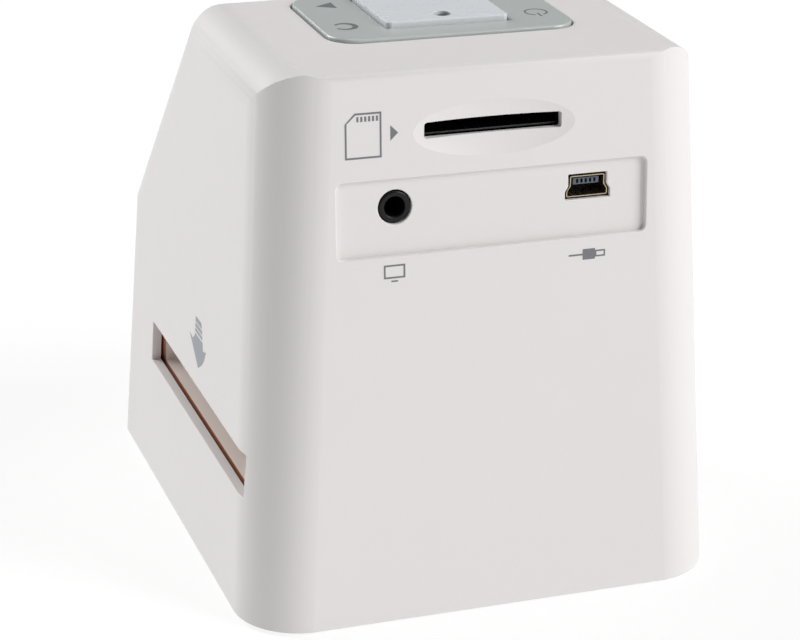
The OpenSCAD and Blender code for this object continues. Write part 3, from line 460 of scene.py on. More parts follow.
def window_plastic():
    """Glossy black print around a clear view of the display."""
    finish = Finish("window_plastic", (0.012, 0.012, 0.014), 0.06, Coat_Weight=0.3).gloss(0.04, 0.09, 0.01)
    middle = on_slope.translation * mm + Vector((0, 0, foot_proud * mm))
    placed = finish.add("ShaderNodeMapping", {"Location": middle, "Rotation": (slope_a, 0, 0)},
                        {"Vector": finish.place}, vector_type="TEXTURE")
    split = finish.add("ShaderNodeSeparateXYZ", links={"Vector": placed.outputs[0]})
    inside = []
    for axis, size in (("X", view_w), ("Y", view_h)):
        reach = finish.add("ShaderNodeMath", operation="ABSOLUTE", links={0: split.outputs[axis]})
        inside.append(finish.add("ShaderNodeMath", {1: size / 2 * mm}, {0: reach.outputs[0]},
                                 operation="LESS_THAN").outputs[0])
    view = finish.add("ShaderNodeMath", links={0: inside[0], 1: inside[1]}, operation="MULTIPLY").outputs[0]
    finish.paint(finish.mix(view, (0.010, 0.010, 0.012), (0.035, 0.042, 0.050)))
    return finish


def display_glass():
    return Finish("display_glass", (0.03, 0.036, 0.045), 0.12).mottle(0.1, 0.01).gloss(0.1, 0.2, 0.004)


def ribbon_film():
    """Amber film over rows of copper lines."""
    finish = Finish("ribbon_film", (0.55, 0.26, 0.05), 0.35)
    lines = finish.add("ShaderNodeTexWave", {"Scale": 500.0, "Distortion": 0.0}, {"Vector": finish.place},
                       wave_type="BANDS", bands_direction="X")
    finish.paint(finish.mix(lines.outputs["Fac"], (0.60, 0.30, 0.06), (0.32, 0.13, 0.03)))
    return finish.grain(0.000004, 0.0003)


def key_silver():
    finish = Finish("key_silver", (0.55, 0.59, 0.575), 0.33, 0.1).mottle(0.02, 0.006)
    return finish.gloss(0.30, 0.36, 0.002).grain(0.000002, 0.0002)


def key_silicone():
    return Finish("key_silicone", (0.30, 0.30, 0.31), 0.7).mottle(0.05, 0.004).grain(0.00002, 0.0004)


def button_white():
    return Finish("button_white", (0.78, 0.81, 0.84), 0.28, IOR=1.5).mottle(0.01, 0.01).gloss(
        0.26, 0.30, 0.003)


# Near-black olive, though the light pipe is clear: painted shade of the dark hollow seen through it, with
# no transmission.
def clear_plastic():
    return Finish("clear_plastic", (0.022, 0.024, 0.014), 0.1, Coat_Weight=0.4).mottle(0.4, 0.0015).gloss(
        0.08, 0.14, 0.001)


def led_plastic():
    return Finish("led_plastic", (0.85, 0.75, 0.35), 0.4).mottle(0.05, 0.001).grain(0.00001, 0.0003)


def circuit_board():
    """Green solder mask over copper tracks."""
    finish = Finish("circuit_board", (0.02, 0.16, 0.07), 0.35)
    tracks = finish.add("ShaderNodeTexBrick", {"Scale": 260.0, "Mortar Size": 0.03,
                                               "Color1": (1, 1, 1, 1), "Color2": (0.8, 0.8, 0.8, 1),
                                               "Mortar": (0, 0, 0, 1)}, {"Vector": finish.place})
    finish.paint(finish.mix(tracks.outputs["Color"], (0.05, 0.26, 0.11), (0.018, 0.15, 0.065)))
    return finish.grain(0.00001, 0.0006)


def plated_steel(name, colour):
    """Rolled and plated sheet, with a faint lay along its length."""
    return Finish(name, colour, 0.3, 1.0).mottle(0.04, 0.002).gloss(0.2, 0.4, 0.0004, (1, 0.1, 1)).grain(
        0.000004, 0.0002, (1, 0.1, 1))


def spacer_brass():
    return Finish("spacer_brass", (0.78, 0.58, 0.25), 0.3, 1.0).mottle(0.05, 0.001).gloss(
        0.22, 0.38, 0.0006)


def black_plastic():
    return Finish("black_plastic", (0.006, 0.006, 0.0065), 0.3, Specular_IOR_Level=0.25).mottle(
        0.15, 0.003).gloss(0.25, 0.35, 0.001).grain(0.000004, 0.0003)


def socket_plastic():
    return Finish("socket_plastic", (0.75, 0.70, 0.60), 0.5).mottle(0.03, 0.003).grain(0.00001, 0.0003)


def tongue_plastic():
    return Finish("tongue_plastic", (0.10, 0.118, 0.15), 0.35).mottle(0.08, 0.001).gloss(0.3, 0.45, 0.0006)


def lens_metal():
    return Finish("lens_metal", (0.04, 0.04, 0.045), 0.35, 0.6).mottle(0.05, 0.002).gloss(0.3, 0.45, 0.0005)


def lens_clear():
    return Finish("lens_clear", (0.75, 0.82, 0.88), 0.03, Transmission_Weight=0.9, IOR=1.52).gloss(
        0.02, 0.05, 0.004)


def diffuser_plastic():
    return Finish("diffuser_plastic", (0.88, 0.88, 0.88), 0.5).mottle(0.01, 0.01).grain(0.00001, 0.0005)


def printed_ink(name, colour):
    """A thin printed layer with slightly uneven cover."""
    return Finish(name, colour, 0.5).mottle(0.06, 0.0012).grain(0.000004, 0.0003)


FINISHES = {finish.name: finish.material for finish in (
    casing_plastic(), base_plastic(), foot_rubber(), screw_steel(), window_plastic(), display_glass(),
    ribbon_film(), key_silver(), key_silicone(), button_white(), clear_plastic(), led_plastic(),
    # socket_steel is near black so that the card slot reads black: painted shade inside the slot's shell.
    circuit_board(), plated_steel("socket_steel", (0.12, 0.12, 0.12)),
    plated_steel("usb_steel", (0.52, 0.43, 0.30)), spacer_brass(), black_plastic(), socket_plastic(),
    guide_plastic(), lens_metal(), lens_clear(), diffuser_plastic())}
legend_ink = printed_ink("legend_ink", (0.19, 0.19, 0.205)).material
arrow_ink = printed_ink("arrow_ink", (0.32, 0.345, 0.37)).material


# ---------------------------------------------------------------- casing


def less(r, inset):
    """The radius of a rounding that lies inset further in, and never quite sharp."""
    return max(r - inset, 0.6)


def body_form(name, inset, low):
    """The casing's form, moved inward by inset: side, cross and plan forms, intersected."""
    top = body_h - inset
    far = 2 * body_d
    hair = 0.01                 # keeps faces of the three forms from lying in each other
    form = cube(name, (-body_w, -far, low), (body_w, far, top))
    plan = cube("plan", (-body_w, -far, low - 2), (body_w, far, top + 5))
    for piece, back in ((form, inset), (plan, inset - hair)):
        slice_off(piece, (0, rear_y(0, back), 0), REAR)
        slice_off(piece, (0, front_y(0, back), 0), FRONT)
        slice_off(piece, (0, slope_y(ridge_z, back), ridge_z), SLOPE)
    round_between(form, TOP, REAR, less(top_rear_r, inset), 8)
    round_between(form, TOP, SLOPE, less(top_front_r, inset), 8)
    round_between(form, SLOPE, FRONT, less(ridge_r, inset), 8)

    cross = cube("cross", (-body_w, -far, low - 1), (body_w, far, top + hair))
    for piece, back in ((cross, inset), (plan, inset - hair)):
        slice_off(piece, (half_w(0, back), 0, 0), ARROW_SIDE)
        slice_off(piece, (-half_w(0, back), 0, 0), PLAIN_SIDE)
    for side in (ARROW_SIDE, PLAIN_SIDE):
        round_between(cross, TOP, side, less(top_side_r, inset), 16)
        round_between(plan, REAR, side, less(rear_corner_r, inset), 24)
    r = less(front_corner_r, inset)
    picks = [between(face, side) for face in (FRONT, SLOPE) for side in (ARROW_SIDE, PLAIN_SIDE)]
    with editing(plan, "EDGE", lambda edge: any(pick(edge) for pick in picks)):
        bevel(r, 12)
    return carve(form, cross, plan, how="INTERSECT")


def inner_bosses():
    """Screw bosses, their ribs and the display's seat, which stand into the casing's hollow."""
    rib_t, seat_rim = 1.6, 2
    bosses = []
    for place in four_places(base_screw_x, base_screw_y, 0, base_t):
        bosses.append(cylinder("boss", base_boss_r, base_boss_h, place))
        x, y, z = place.translation
        outer_x = x + (body_w / 2 if x > 0 else -body_w / 2)
        bosses.append(cube("rib", (min(x, outer_x), y - rib_t / 2, z),
                           (max(x, outer_x), y + rib_t / 2, z + base_boss_h)))
    for place in four_places(spacer_x, spacer_y, spacer_mid_y, board_top):
        bosses.append(cylinder("boss", spacer_boss_r, body_h - board_top, place))
    seat = on_slope @ Matrix.Translation((0, 0, -wall - display_pad))
    bosses.append(rounded_block("seat", window_w + 2 * seat_rim, window_h + 2 * seat_rim,
                                wall + 2 * over, 1, seat))
    for place in four_places(lcd_boss_x, lcd_boss_y, 0, -lcd_t):
        bosses.append(cylinder("boss", lcd_boss_r, lcd_boss_h, seat @ place))
    return bosses


def usb_outline(grow):
    """The socket's outline: wide below, narrower above."""
    w, h = usb_w / 2 + grow, usb_h / 2 + grow
    neck = w - 0.6
    return [(-w, -h), (w, -h), (w, -0.8), (neck, 0.1), (neck, h), (-neck, h), (-neck, 0.1), (-w, -0.8)]


def sunk_tools():
    """Cutters for what is sunk into the faces: port recess, finger dish and window seat."""
    recess = rounded_block("recess", port_w, port_h, port_depth + over, port_r,
                           at_rear(0, port_z, -port_depth), 10)
    away = 2.4                  # the dish is the end of an ellipsoid whose middle is this far outside
    deep = away + dish_depth
    spread = (1 - (away / deep) ** 2) ** 0.5
    bpy.ops.object.select_all(action="DESELECT")
    bpy.ops.mesh.primitive_uv_sphere_add(segments=96, ring_count=64, radius=1, rotation=(0, pi / 2, 0),
                                         scale=(deep, dish_h / 2 / spread, dish_w / 2 / spread))
    dish = just_added("dish")
    dish.data.transform(at_rear(0, card_z - dish_sunk, away))
    window_seat = rounded_block("window_seat", window_w + 2 * fit, window_h + 2 * fit, window_t + over,
                                window_r, on_slope @ Matrix.Translation((0, 0, -window_t)), 10)
    return [recess, dish, window_seat]


def hole_tools():
    """Cutters for what goes through the wall, apart from the film slot."""
    deep, length = 8, 12        # the holes in the rear start this deep and are this long
    slot_drop, slot_side, slot_r = 0.15, 0.1, 0.5
    usb_room, view_rim = 0.3, 1.5
    key_hole = rounded_block("key_hole", key_w + 2 * key_gap, key_d + 2 * key_gap, wall + 2 * over,
                             key_r + key_gap, Matrix.Translation((0, key_y, body_h - wall - over)), 12)
    card_slot = rounded_block("card_slot", card_slot_w, card_slot_h + 2 * slot_drop, length, slot_r,
                              into_body(slot_side, rear_y(card_z) - deep, card_z - slot_drop), 5)
    jack_hole = cylinder("jack_hole", jack_nose_r + 2 * fit, length,
                         into_body(socket_x, rear_y(jack_z) - deep, jack_z))
    usb_hole = prism("usb_hole", usb_outline(usb_room), length,
                     into_body(-socket_x, rear_y(usb_z) - deep, usb_z))
    view = rounded_block("view", view_w + 2 * view_rim, view_h + 2 * view_rim,
                         wall + display_pad + 2 * over, 1,
                         on_slope @ Matrix.Translation((0, 0, -wall - display_pad - over)))
    return [key_hole, card_slot, jack_hole, usb_hole, view]


def boss_holes():
    """Pilot holes in the bosses."""
    boss_end = 2                # left closed at the top of a base boss
    holes = [cylinder("pilot", base_screw_r + screw_gap, base_boss_h - boss_end + over, place, 24)
             for place in four_places(base_screw_x, base_screw_y, 0, base_t - over)]
    holes += [cylinder("pilot", stud_r + screw_gap, stud_hole_l + over, place, 24)
              for place in four_places(spacer_x, spacer_y, spacer_mid_y, board_top - over)]
    seat = on_slope @ Matrix.Translation((0, 0, -wall - display_pad - lcd_t - over))
    holes += [cylinder("pilot", lcd_screw_r + screw_gap, lcd_t + over, seat @ place, 24)
              for place in four_places(lcd_boss_x, lcd_boss_y)]
    return holes


def casing_shell():
    """The one-piece outer casing."""
    marks = {name: bpy.data.materials.new("mark_" + name)
             for name in ("outside", "sunk", "hole", "slot", "inside")}

    def marked(tools, name):
        for tool in tools:
            tool.data.materials.clear()
            tool.data.materials.append(marks[name])
            tool.data.polygons.foreach_set("material_index", [0] * len(tool.data.polygons))
        return tools

    shell = body_form("casing_shell", 0, 0)
    marked([shell], "outside")
    hollow = body_form("hollow", wall, -over)
    carve(hollow, *inner_bosses())
    carve(shell, *marked([hollow], "inside"))
    carve(shell, *marked(sunk_tools(), "sunk"))
    slot = cube("slot", (-body_w, film_y - slot_w / 2, slot_z), (body_w, film_y + slot_w / 2, slot_top))
    carve(shell, *marked([slot], "slot"), *marked(hole_tools() + boss_holes(), "hole"))

    names = [material.name.removeprefix("mark_") for material in shell.data.materials]

    def marks_of(edge):
        return {names[face.material_index] for face in edge.link_faces}

    def at_card_slot(edge):
        """The card slot's edges, which stay sharp."""
        around = 0.5
        return all(abs(v.co.x) < card_slot_w / 2 + around and v.co.y > 0
                   and abs(v.co.z - card_z) < card_slot_h / 2 + around for v in edge.verts)

    def on_rounded_corner(edge):
        """The film slot's rear end, which stays sharp where it runs into the rounded corner."""
        rear_end = film_y + slot_w / 2
        return "slot" in marks_of(edge) and all(v.co.y > rear_end - 10 * near for v in edge.verts)

    def moulded_rim(edge):
        found = marks_of(edge)
        if len(edge.link_faces) != 2 or "inside" in found or at_card_slot(edge) or on_rounded_corner(edge):
            return False
        at_foot = all(v.co.z < near for v in edge.verts)
        return edge.calc_face_angle(0) > radians(35) and (len(found) == 2 or at_foot)

    def sunk_rim(edge):
        found = marks_of(edge)
        return len(found) == 2 and "sunk" in found and edge.calc_face_angle(0) > radians(8)

    with editing(shell, "EDGE", moulded_rim):
        bevel(rim_r, 3)
    with editing(shell, "EDGE", sunk_rim):
        bpy.ops.mesh.mark_sharp()
    shade(shell)
    inside = casing_inside_shade().material
    for index, name in enumerate(names):
        shell.material_slots[index].material = inside if name == "inside" else FINISHES["casing_plastic"]
    settle(shell, "scanner_body", None, ["casing"])


def film_guide():
    """The lower film guide: a channel between two rails, open below over the light."""
    low, high = (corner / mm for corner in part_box("film_guide_lower"))
    low.z -= foot_proud
    high.z -= foot_proud
    front_reach, end_reach = 4, 1.1     # its front rail and its ends reach this far past the solid's
    hole_x, rail_y, hole_r = 29, 32.75, 1.4
    guide = cube("film_guide_channel", (low.x - end_reach, low.y - front_reach, low.z),
                 (high.x + end_reach, high.y, high.z))
    with editing(guide, "EDGE", upright):
        bevel(0.6, 3)
    carve(guide, cube("channel", (-body_w, film_y - channel_w / 2, channel_z),
                      (body_w, film_y + channel_w / 2, high.z + over)),
          cube("frame_opening", (-frame_l / 2, film_y - frame_w / 2, 0),
               (frame_l / 2, film_y + frame_w / 2, channel_z + over)))
    for place in four_places(hole_x, rail_y, film_y):
        carve(guide, cylinder("screw_hole", hole_r, 40, place))

    long_edge, just_below = 50, 0.1

    def along_channel(edge):
        """The long edges at and above the channel's floor."""
        one, other = (v.co for v in edge.verts)
        return abs(one.x - other.x) > long_edge and one.z > channel_z - just_below

    with editing(guide, "EDGE", along_channel):
        bevel(0.2, 2)
    shade(guide)
    settle(guide, "scanner_body", FINISHES["guide_plastic"], ["film_guide_lower"])


# ---------------------------------------------------------------- keys

flange_reach, flange_t = 1.2, 1.2               # of the flange that keeps the key plate in
flange_top = body_h - wall - 0.7
plate_wall, plate_t = 1.6, 1.8
key_top = body_h + key_proud
scan_top = key_top + scan_proud
mat_top = flange_top - flange_t - 0.8
button_z = mat_top + 1.4
button_wall, stem_r = 1.5, 2.4
dome_h, dome_gap = 0.4, 0.6     # a snap dome's height, and the gap over it
led_h, led_gap = 0.8, 0.7       # the status light's height, and the gap over it


def rim_at(z):
    """Picks the sharp edges at one height."""
    return lambda edge: at_height(z)(edge) and edge.calc_face_angle(0) > radians(60)


def silver_key_plate():
    """The rocking key plate: a shallow tray with a flange and a square hole for the scan button."""
    low = flange_top - flange_t
    plate = rounded_block("silver_key_plate", key_w, key_d, key_top - low, key_r,
                          Matrix.Translation((0, key_y, low)), 16, 0.5)
    hair = near / 2             # keeps the flange's underside from lying in the plate's
    flange = rounded_block("flange", key_w + 2 * flange_reach, key_d + flange_reach, flange_t, key_r,
                           Matrix.Translation((0, key_y + flange_reach / 2, low - hair)), 12)
    hollow = rounded_block("hollow", key_w - 2 * plate_wall, key_d - 2 * plate_wall,
                           key_top - low - plate_t + over, key_r - plate_wall,
                           Matrix.Translation((0, key_y, low - over)), 8)
    hole = cube("hole", (-scan_w / 2 - key_gap, scan_y - scan_d / 2 - key_gap, low - over),
                (scan_w / 2 + key_gap, scan_y + scan_d / 2 + key_gap, key_top + over))
    carve(plate, flange, how="UNION")
    carve(plate, hollow, hole)
    with editing(plate, "EDGE", rim_at(key_top)):
        bevel(0.2, 3)
    shade(plate)
    settle(plate, "rocker_plate", FINISHES["key_silver"], ["key_plate"])


def white_scan_button():
    """The square scan button with its stem and the hole for its light."""
    button = rounded_block("white_scan_button", scan_w, scan_d, scan_top - button_z, scan_r,
                           Matrix.Translation((0, scan_y, button_z)), 8, 0.3)
    hollow = rounded_block("hollow", scan_w - 2 * button_wall, scan_d - 2 * button_wall,
                           scan_top - button_z - button_wall + over, scan_r / 2,
                           Matrix.Translation((0, scan_y, button_z - over)), 4)
    in_roof = scan_top - 1      # the sleeve and the stem end inside the button's roof
    pad_z = board_top + dome_h + dome_gap
    sleeve = cylinder("sleeve", pipe_r + 0.9, in_roof - button_z, Matrix.Translation((0, pipe_y, button_z)))
    stem = cylinder("stem", stem_r, in_roof - pad_z, Matrix.Translation((0, scan_y - 2.4, pad_z)))
    light_hole = cylinder("light_hole", pipe_r + 0.02, body_h, Matrix.Translation((0, pipe_y, mat_top)), 64)
    carve(button, hollow)
    carve(button, sleeve, stem, how="UNION")
    carve(button, light_hole)
    with editing(button, "EDGE", rim_at(scan_top)):
        bevel(0.1, 3)
    shade(button)
    settle(button, "scan_key", FINISHES["button_white"], ["scan_button"])


def light_dome():
    """The clear pipe in the scan button, with a domed end just under the button's face."""
    pipe_low = board_top + led_h + led_gap
    sunk = 0.35                 # its top is this far below the button's
    height = scan_top - sunk - pipe_low
    dome = cylinder("light_dome", pipe_r, height, Matrix.Translation((0, pipe_y, pipe_low)), 64)
    with editing(dome, "EDGE", at_height(pipe_low + height)):
        bevel(1.1, 8)
    shade(dome, 40)
    settle(dome, "scan_key", FINISHES["clear_plastic"], ["light_pipe"])


# ---------------------------------------------------------------- sockets


def audio_video_jack():
    """The jack: a moulded body and a round nose with its bore, and a contact leaf in the bore."""
    nose_y = rear_y(jack_z) - port_depth - 0.1
    face_y = rear_y(jack_z + jack_h / 2, wall) - 0.3
    sunk, bore_l = 0.4, 11      # how deep the nose is sunk into the body, and the bore's length
    jack = rounded_block("audio_video_jack", jack_w, jack_h, jack_l, 0.4,
                         into_body(socket_x, face_y - jack_l, jack_z), 3, 0.2)
    nose = cylinder("nose", jack_nose_r, nose_y - face_y + sunk,
                    into_body(socket_x, face_y - sunk, jack_z), 64)
    carve(jack, nose, how="UNION")
    carve(jack, cylinder("bore", jack_bore_r, bore_l + over,
                         into_body(socket_x, nose_y - bore_l, jack_z), 64))

    def nose_rim(edge):
        at_nose = all(abs(v.co.y - nose_y) < near for v in edge.verts)
        return at_nose and edge.calc_face_angle(0) > radians(60)

    with editing(jack, "EDGE", nose_rim):
        bevel(0.3, 4)
    shade(jack)
    settle(jack, "scanner_body", FINISHES["black_plastic"], ["av_jack"])

    leaf = rounded_block("jack_contact_leaf", 1.0, 0.2, 5, 0.08,
                         into_body(socket_x - 1.0, nose_y - 8.5, jack_z + 1.25), 3, 0.05)
    with editing(leaf, "FACE", lambda face: face.calc_center_median().y > nose_y - 4):
        bpy.ops.transform.translate(value=(0.15, 0, -0.3))
    shade(leaf)
    settle(leaf, "scanner_body", FINISHES["spacer_brass"])


def usb_socket():
    """The socket: a folded steel shell around a moulded block whose tongue has five contact slots."""
    mouth_y = rear_y(usb_z) - port_depth - 0.3
    place = into_body(-socket_x, mouth_y - usb_l, usb_z)
    outer_r, inner_r = 0.32, 0.14
    shell = prism("usb_folded_shell", usb_outline(-fit / 2), usb_l)
    room = prism("room", usb_outline(-usb_sheet), usb_l + 2 * over, Matrix.Translation((0, 0, -over)))
    for piece, r in ((shell, outer_r), (room, inner_r)):
        with editing(piece, "EDGE", upright):
            bevel(r, 4)
    carve(shell, room)
    with editing(shell, "EDGE", at_height(usb_l)):
        bevel(0.03, 2)
    shell.data.transform(place)
    with editing(shell):
        bpy.ops.mesh.normals_make_consistent(inside=False)
    shade(shell)
    settle(shell, "scanner_body", FINISHES["usb_steel"], ["usb_shell"])

    back_t, tongue_w, tongue_z, tongue_t = 1.6, 4.8, 0.1, 1.2
    tongue_end = usb_l - 0.6
    block = prism("usb_moulded_block", usb_outline(-usb_sheet), back_t)
    tongue = cube("tongue", (-tongue_w / 2, tongue_z, back_t - 0.4),
                  (tongue_w / 2, tongue_z + tongue_t, tongue_end))
    with editing(tongue, "EDGE", at_height(tongue_end)):
        bevel(0.1, 3)
    carve(block, tongue, how="UNION")
    pitch, half, low, high, deep = 0.8, 0.22, tongue_z + 0.24, tongue_z + 1.0, usb_l - 4
    carve(block, *[cube("slot", (i * pitch - half, low, deep), (i * pitch + half, high, usb_l))
                   for i in range(-2, 3)])
    block.data.transform(place)
    with editing(block):
        bpy.ops.mesh.normals_make_consistent(inside=False)
    shade(block)
    settle(block, "scanner_body", tongue_plastic().material, ["usb_insulator"])


# ---------------------------------------------------------------- window, feet, screws and spring


def display_window():
    window = rounded_block("display_window", window_w, window_h, window_t - fit, window_r - fit,
                           on_slope @ Matrix.Translation((0, 0, -window_t)), 10, 0.25)
    shade(window)
    settle(window, "scanner_body", FINISHES["window_plastic"], ["lcd_window"])


def rubber_feet():
    """Four feet with a rounded tread and a shallow dimple below."""
    tread_w, dimple = 1.6, 0.25
    foot = cylinder("rubber_foot", foot_r, foot_t, Matrix.Translation((0, 0, -foot_proud)))
    with editing(foot, "FACE", lambda face: face.normal.z < -0.9):
        bpy.ops.mesh.inset(thickness=tread_w)
        bpy.ops.transform.translate(value=(0, 0, dimple))
    with editing(foot, "EDGE", at_height(-foot_proud)):
        bevel(0.25, 3)
    shade(foot)
    for copy in copies(foot, four_places(foot_x, foot_y)):
        settle(copy, "scanner_body", FINISHES["foot_rubber"], ["rubber_feet"])


def base_screws():
    """Four pan-head screws that point up into the casing's bosses, each with a cross recess."""
    in_head = 0.5               # how far the shank reaches into the head
    screw = cylinder("base_screw", base_head_r, base_head_h)
    with editing(screw, "EDGE", at_height(0)):
        bevel(0.45, 4)
    shank = cylinder("shank", base_screw_r, base_screw_l + in_head,
                     Matrix.Translation((0, 0, base_head_h - in_head)), 32)
    carve(screw, shank, how="UNION")
    arm, arm_w, sunk = 1.3, 0.45, 0.7
    carve(screw, cube("recess", (-arm, -arm_w / 2, -over), (arm, arm_w / 2, sunk)),
          cube("recess", (-arm_w / 2, -arm, -over), (arm_w / 2, arm, sunk)))
    shade(screw)
    for copy in copies(screw, four_places(base_screw_x, base_screw_y)):
        settle(copy, "scanner_body", FINISHES["screw_steel"], ["base_screws"])


def detent_spring():
    """The small coil spring over the detent ball, as one piece on the scanner body."""
    low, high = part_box("detent_spring")
    turns, wire_r = 4, 0.14 * mm
    r = (high.x - low.x) / 2 - wire_r
    rise = (high.z - low.z - 2 * wire_r) / turns
    bpy.ops.object.select_all(action="DESELECT")
    bpy.ops.mesh.primitive_circle_add(vertices=10, radius=wire_r, rotation=(pi / 2, 0, 0),
                                      location=(r, 0, 0))
    spring = just_added("steel_detent_spring")
    step = spring.modifiers.new("wind", "SCREW")
    step.axis = "Z"
    step.screw_offset = rise
    step.iterations = turns
    step.steps = step.render_steps = 24
    step.use_merge_vertices = False
    bpy.ops.object.modifier_apply(modifier=step.name)
    with editing(spring, "EDGE", lambda edge: edge.is_boundary):
        bpy.ops.mesh.edge_face_add()
        bpy.ops.mesh.select_all(action="SELECT")
        bpy.ops.mesh.normals_make_consistent(inside=False)
    spring.data.transform(Matrix.Translation(((low.x + high.x) / 2, (low.y + high.y) / 2, low.z + wire_r)))
    spring.data.materials.append(FINISHES["screw_steel"])
    select_only(spring)
    bpy.ops.object.shade_smooth_by_angle(angle=radians(50))
    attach(spring, "scanner_body")
    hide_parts("detent_spring")
    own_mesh(spring)


# ---------------------------------------------------------------- printed signs

ink_t = 0.03                    # how far the ink stands out, and how far it reaches in


def printed(name, outlines, place, body="scanner_body", ink=legend_ink):
    """Flat printed shapes on one face, as one thin piece."""
    half_sunk = place @ Matrix.Translation((0, 0, -ink_t))
    pieces = [prism(name, outline, 2 * ink_t, half_sunk) for outline in outlines]
    sign = pieces[0]
    select_only(sign)
    for piece in pieces[1:]:
        piece.select_set(True)
    if len(pieces) > 1:
        bpy.ops.object.join()
    sign.name = name
    settle(sign, body, ink)


def bar(left, low, right, high):
    return [(left, low), (right, low), (right, high), (left, high)]


def frame_bars(left, low, right, high, stroke):
    """The four bars of an upright frame."""
    return [bar(left, low, right, low + stroke), bar(left, high - stroke, right, high),
            bar(left, low + stroke, left + stroke, high - stroke),
            bar(right - stroke, low + stroke, right, high - stroke)]


def arc(middle, r, start, end, steps=28):
    """Points on an arc between two angles in degrees."""
    angles = [radians(start + (end - start) * i / steps) for i in range(steps + 1)]
    return [(middle[0] + r * cos(a), middle[1] + r * sin(a)) for a in angles]


def curve(first, bend, last, steps=6):
    """Points on a quadratic curve, without its last point."""
    points = []
    for i in range(steps):
        t = i / steps
        weights = ((1 - t) ** 2, 2 * t * (1 - t), t ** 2)
        points.append(tuple(sum(w * p[k] for w, p in zip(weights, (first, bend, last))) for k in (0, 1)))
    return points


def card_sign():
    """A memory card in outline with its contacts, and a small arrow that points to the slot."""
    left, right, low, high, stroke, cut = -26.5, -20.1, 83.8, 91.6, 0.32, 1.75
    slant = stroke * 0.42
    outlines = [bar(left, low, right, low + stroke),
                bar(right - stroke, low + stroke, right, high - stroke),
                bar(left + cut, high - stroke, right, high),
                bar(left, low + stroke, left + stroke, high - cut),
                [(left, high - cut), (left + stroke, high - cut), (left + cut + slant, high - stroke),
                 (left + cut, high)]]
    first, pitch, width = left + 2.05, 0.68, 0.36
    outlines += [bar(first + i * pitch, high - 1.5, first + i * pitch + width, high - 0.62)
                 for i in range(6)]
    outlines.append([(-18.55, 86.5), (-17.2, 87.8), (-18.55, 89.1)])
    printed("card_sign", outlines, on_rear)


def screen_sign():
    """A small screen on its foot, under the jack."""
    left, right, low, high = -19.9, -16.1, 62.6, 65.0
    outlines = frame_bars(left, low, right, high, 0.3) + [bar(-18.6, low - 0.62, -17.4, low - 0.36)]
    printed("screen_sign", outlines, on_rear)


def plug_sign():
    """A plug with its cable, under the data socket."""
    outlines = [bar(13.7, 63.15, 16.3, 63.45), bar(16.3, 62.35, 18.6, 64.25)]
    outlines += frame_bars(18.6, 62.7, 20.5, 63.9, 0.26)
    printed("plug_sign", outlines, on_rear)


def film_arrow():
    """An arrow above the film slot that points down to it, its shaft striped."""
    tip, left_barb, right_barb = (6.97, 34.22), (0.31, 38.83), (11.68, 38.97)
    head = (curve(tip, (10.6, 35.9), right_barb) + [right_barb, (9.63, 38.47), (9.2, 39.95), (3.97, 39.95),
            (3.9, 39.34), (2.49, 38.39)] + curve(left_barb, (3.7, 36.6), tip))
    stripes = []
    stripe_low = (40.35, 41.25, 42.3)
    stripe_high = (40.95, 42.0, 43.25)
    for low, high in zip(stripe_low, stripe_high):
        right_low, right_high = (9.2 - 0.39 * (z - 40.0) for z in (low, high))
        stripes.append([(4.0, low), (right_low, low), (right_high, high), (4.15, high)])
    printed("film_arrow", [head] + stripes, on_side, ink=arrow_ink)


def key_signs():
    """Signs on the key plate: two arrows, a turn sign and a power sign."""
    arrows = [[(side * 15.62, -1.2), (side * 18.96, 0.72), (side * 15.62, 2.64)] for side in (1, -1)]
    turn_middle, turn_r, thick, thin = (17.9, 14.7), 2.2, 1.0, 0.35
    inner_middle = (turn_middle[0] + (thick - thin) / 2, turn_middle[1])
    turn = arc(turn_middle, turn_r, 30, 320) + arc(inner_middle, turn_r - (thick + thin) / 2, 320, 30)
    power_middle, power_r, stroke = (-17.8, 14.2), 2.15, 0.35
    power = arc(power_middle, power_r, 112, 428) + arc(power_middle, power_r - stroke, 428, 112)
    power_bar = bar(power_middle[0] - stroke / 2, 14.9, power_middle[0] + stroke / 2, 17.1)
    printed("key_signs", arrows + [turn, power, power_bar], on_plate, "rocker_plate")


# ---------------------------------------------------------------- carried-over parts, stage and camera


def finish_carried_parts():
    """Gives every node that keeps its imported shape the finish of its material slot."""
    for part in frame["record"]["subparts"]:
        node = frame["nodes"][part["node"]]
        for slot in node.material_slots:
            slot.material = FINISHES[part["material_slot"]]


def softbox(name, place, size, power):
    """A square studio light that looks at the scanner."""
    light = bpy.data.lights.new(name, "AREA")
    light.shape = "SQUARE"
    light.size = size
    light.energy = power
    lamp = bpy.data.objects.new(name, light)
    lamp.location = place
    lamp.rotation_euler = (Vector((0, 0, 0.05)) - Vector(place)).to_track_quat("-Z", "Y").to_euler()
    bpy.context.scene.collection.objects.link(lamp)


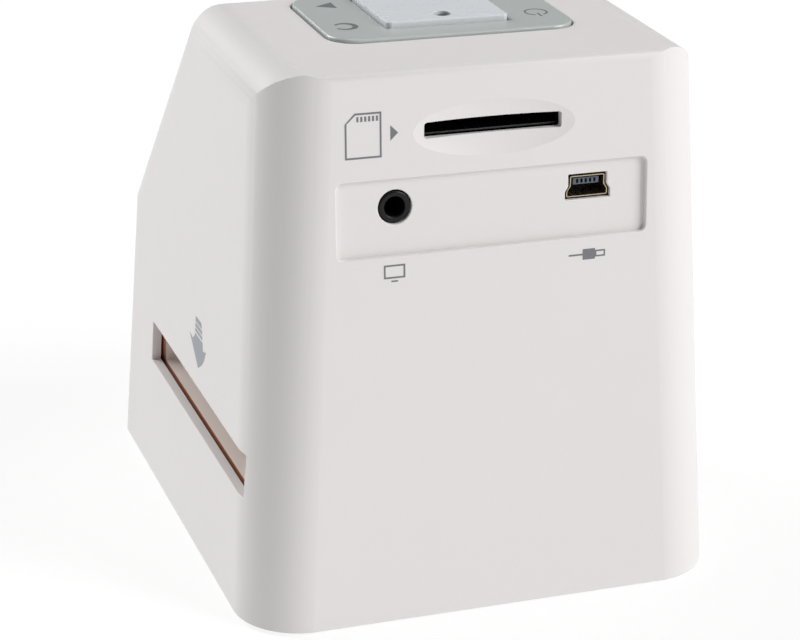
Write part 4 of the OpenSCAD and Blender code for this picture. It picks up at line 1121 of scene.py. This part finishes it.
def stage():
    """A pale floor, soft studio lights and a little light from all around."""
    bpy.ops.object.select_all(action="DESELECT")
    bpy.ops.mesh.primitive_plane_add(size=6)
    floor = just_added("studio_floor")
    paper = Finish("studio_paper", (0.35, 0.35, 0.35), 0.9, Specular_IOR_Level=0.1,
                   Emission_Color=(1, 1, 1, 1), Emission_Strength=0.7)
    floor.data.materials.append(paper.material)
    scene = bpy.context.scene
    scene.view_settings.view_transform = "Standard"
    world = bpy.data.worlds.new("studio_fill")
    world.use_nodes = True
    world.node_tree.nodes["Background"].inputs["Color"].default_value = (1, 1, 1, 1)
    world.node_tree.nodes["Background"].inputs["Strength"].default_value = 0.14
    scene.world = world
    softbox("front_softbox", (1.1, -1.4, 1.05), 1.2, 27)
    softbox("rear_softbox", (-1.4, 1.1, 1.05), 1.2, 30)
    softbox("top_softbox", (0, 0, 2), 1.0, 7)


def camera():
    """The camera behind the scanner, above its upper rear corner."""
    place = Vector((0.15144, 0.42509, 0.21875))
    yaw, pitch, roll = -0.3461, 0.3542, -0.0229
    focal, middle_x, middle_y = 2571.755, 419.076, 244.340     # in pixels of an 800 x 640 picture
    picture_w, picture_h, sensor = 800, 640, 36
    ahead = Vector((sin(yaw) * cos(pitch), -cos(yaw) * cos(pitch), -sin(pitch)))
    level = ahead.cross(TOP).normalized()
    sunk = ahead.cross(level)
    right = cos(roll) * level + sin(roll) * sunk
    down = -sin(roll) * level + cos(roll) * sunk
    lens = bpy.data.cameras.new("camera")
    lens.sensor_width = sensor
    lens.lens = focal * sensor / picture_w
    lens.shift_x = (picture_w / 2 - middle_x) / picture_w
    lens.shift_y = (middle_y - picture_h / 2) / picture_w
    view = bpy.data.objects.new("camera", lens)
    turned = Matrix((right, -down, -ahead)).transposed().to_4x4()
    view.matrix_world = Matrix.Translation(place) @ turned
    bpy.context.scene.collection.objects.link(view)
    bpy.context.scene.camera = view


camera()
stage()
finish_carried_parts()
casing_shell()
film_guide()
silver_key_plate()
white_scan_button()
light_dome()
audio_video_jack()
usb_socket()
display_window()
rubber_feet()
base_screws()
detent_spring()
card_sign()
screen_sign()
plug_sign()
film_arrow()
key_signs()
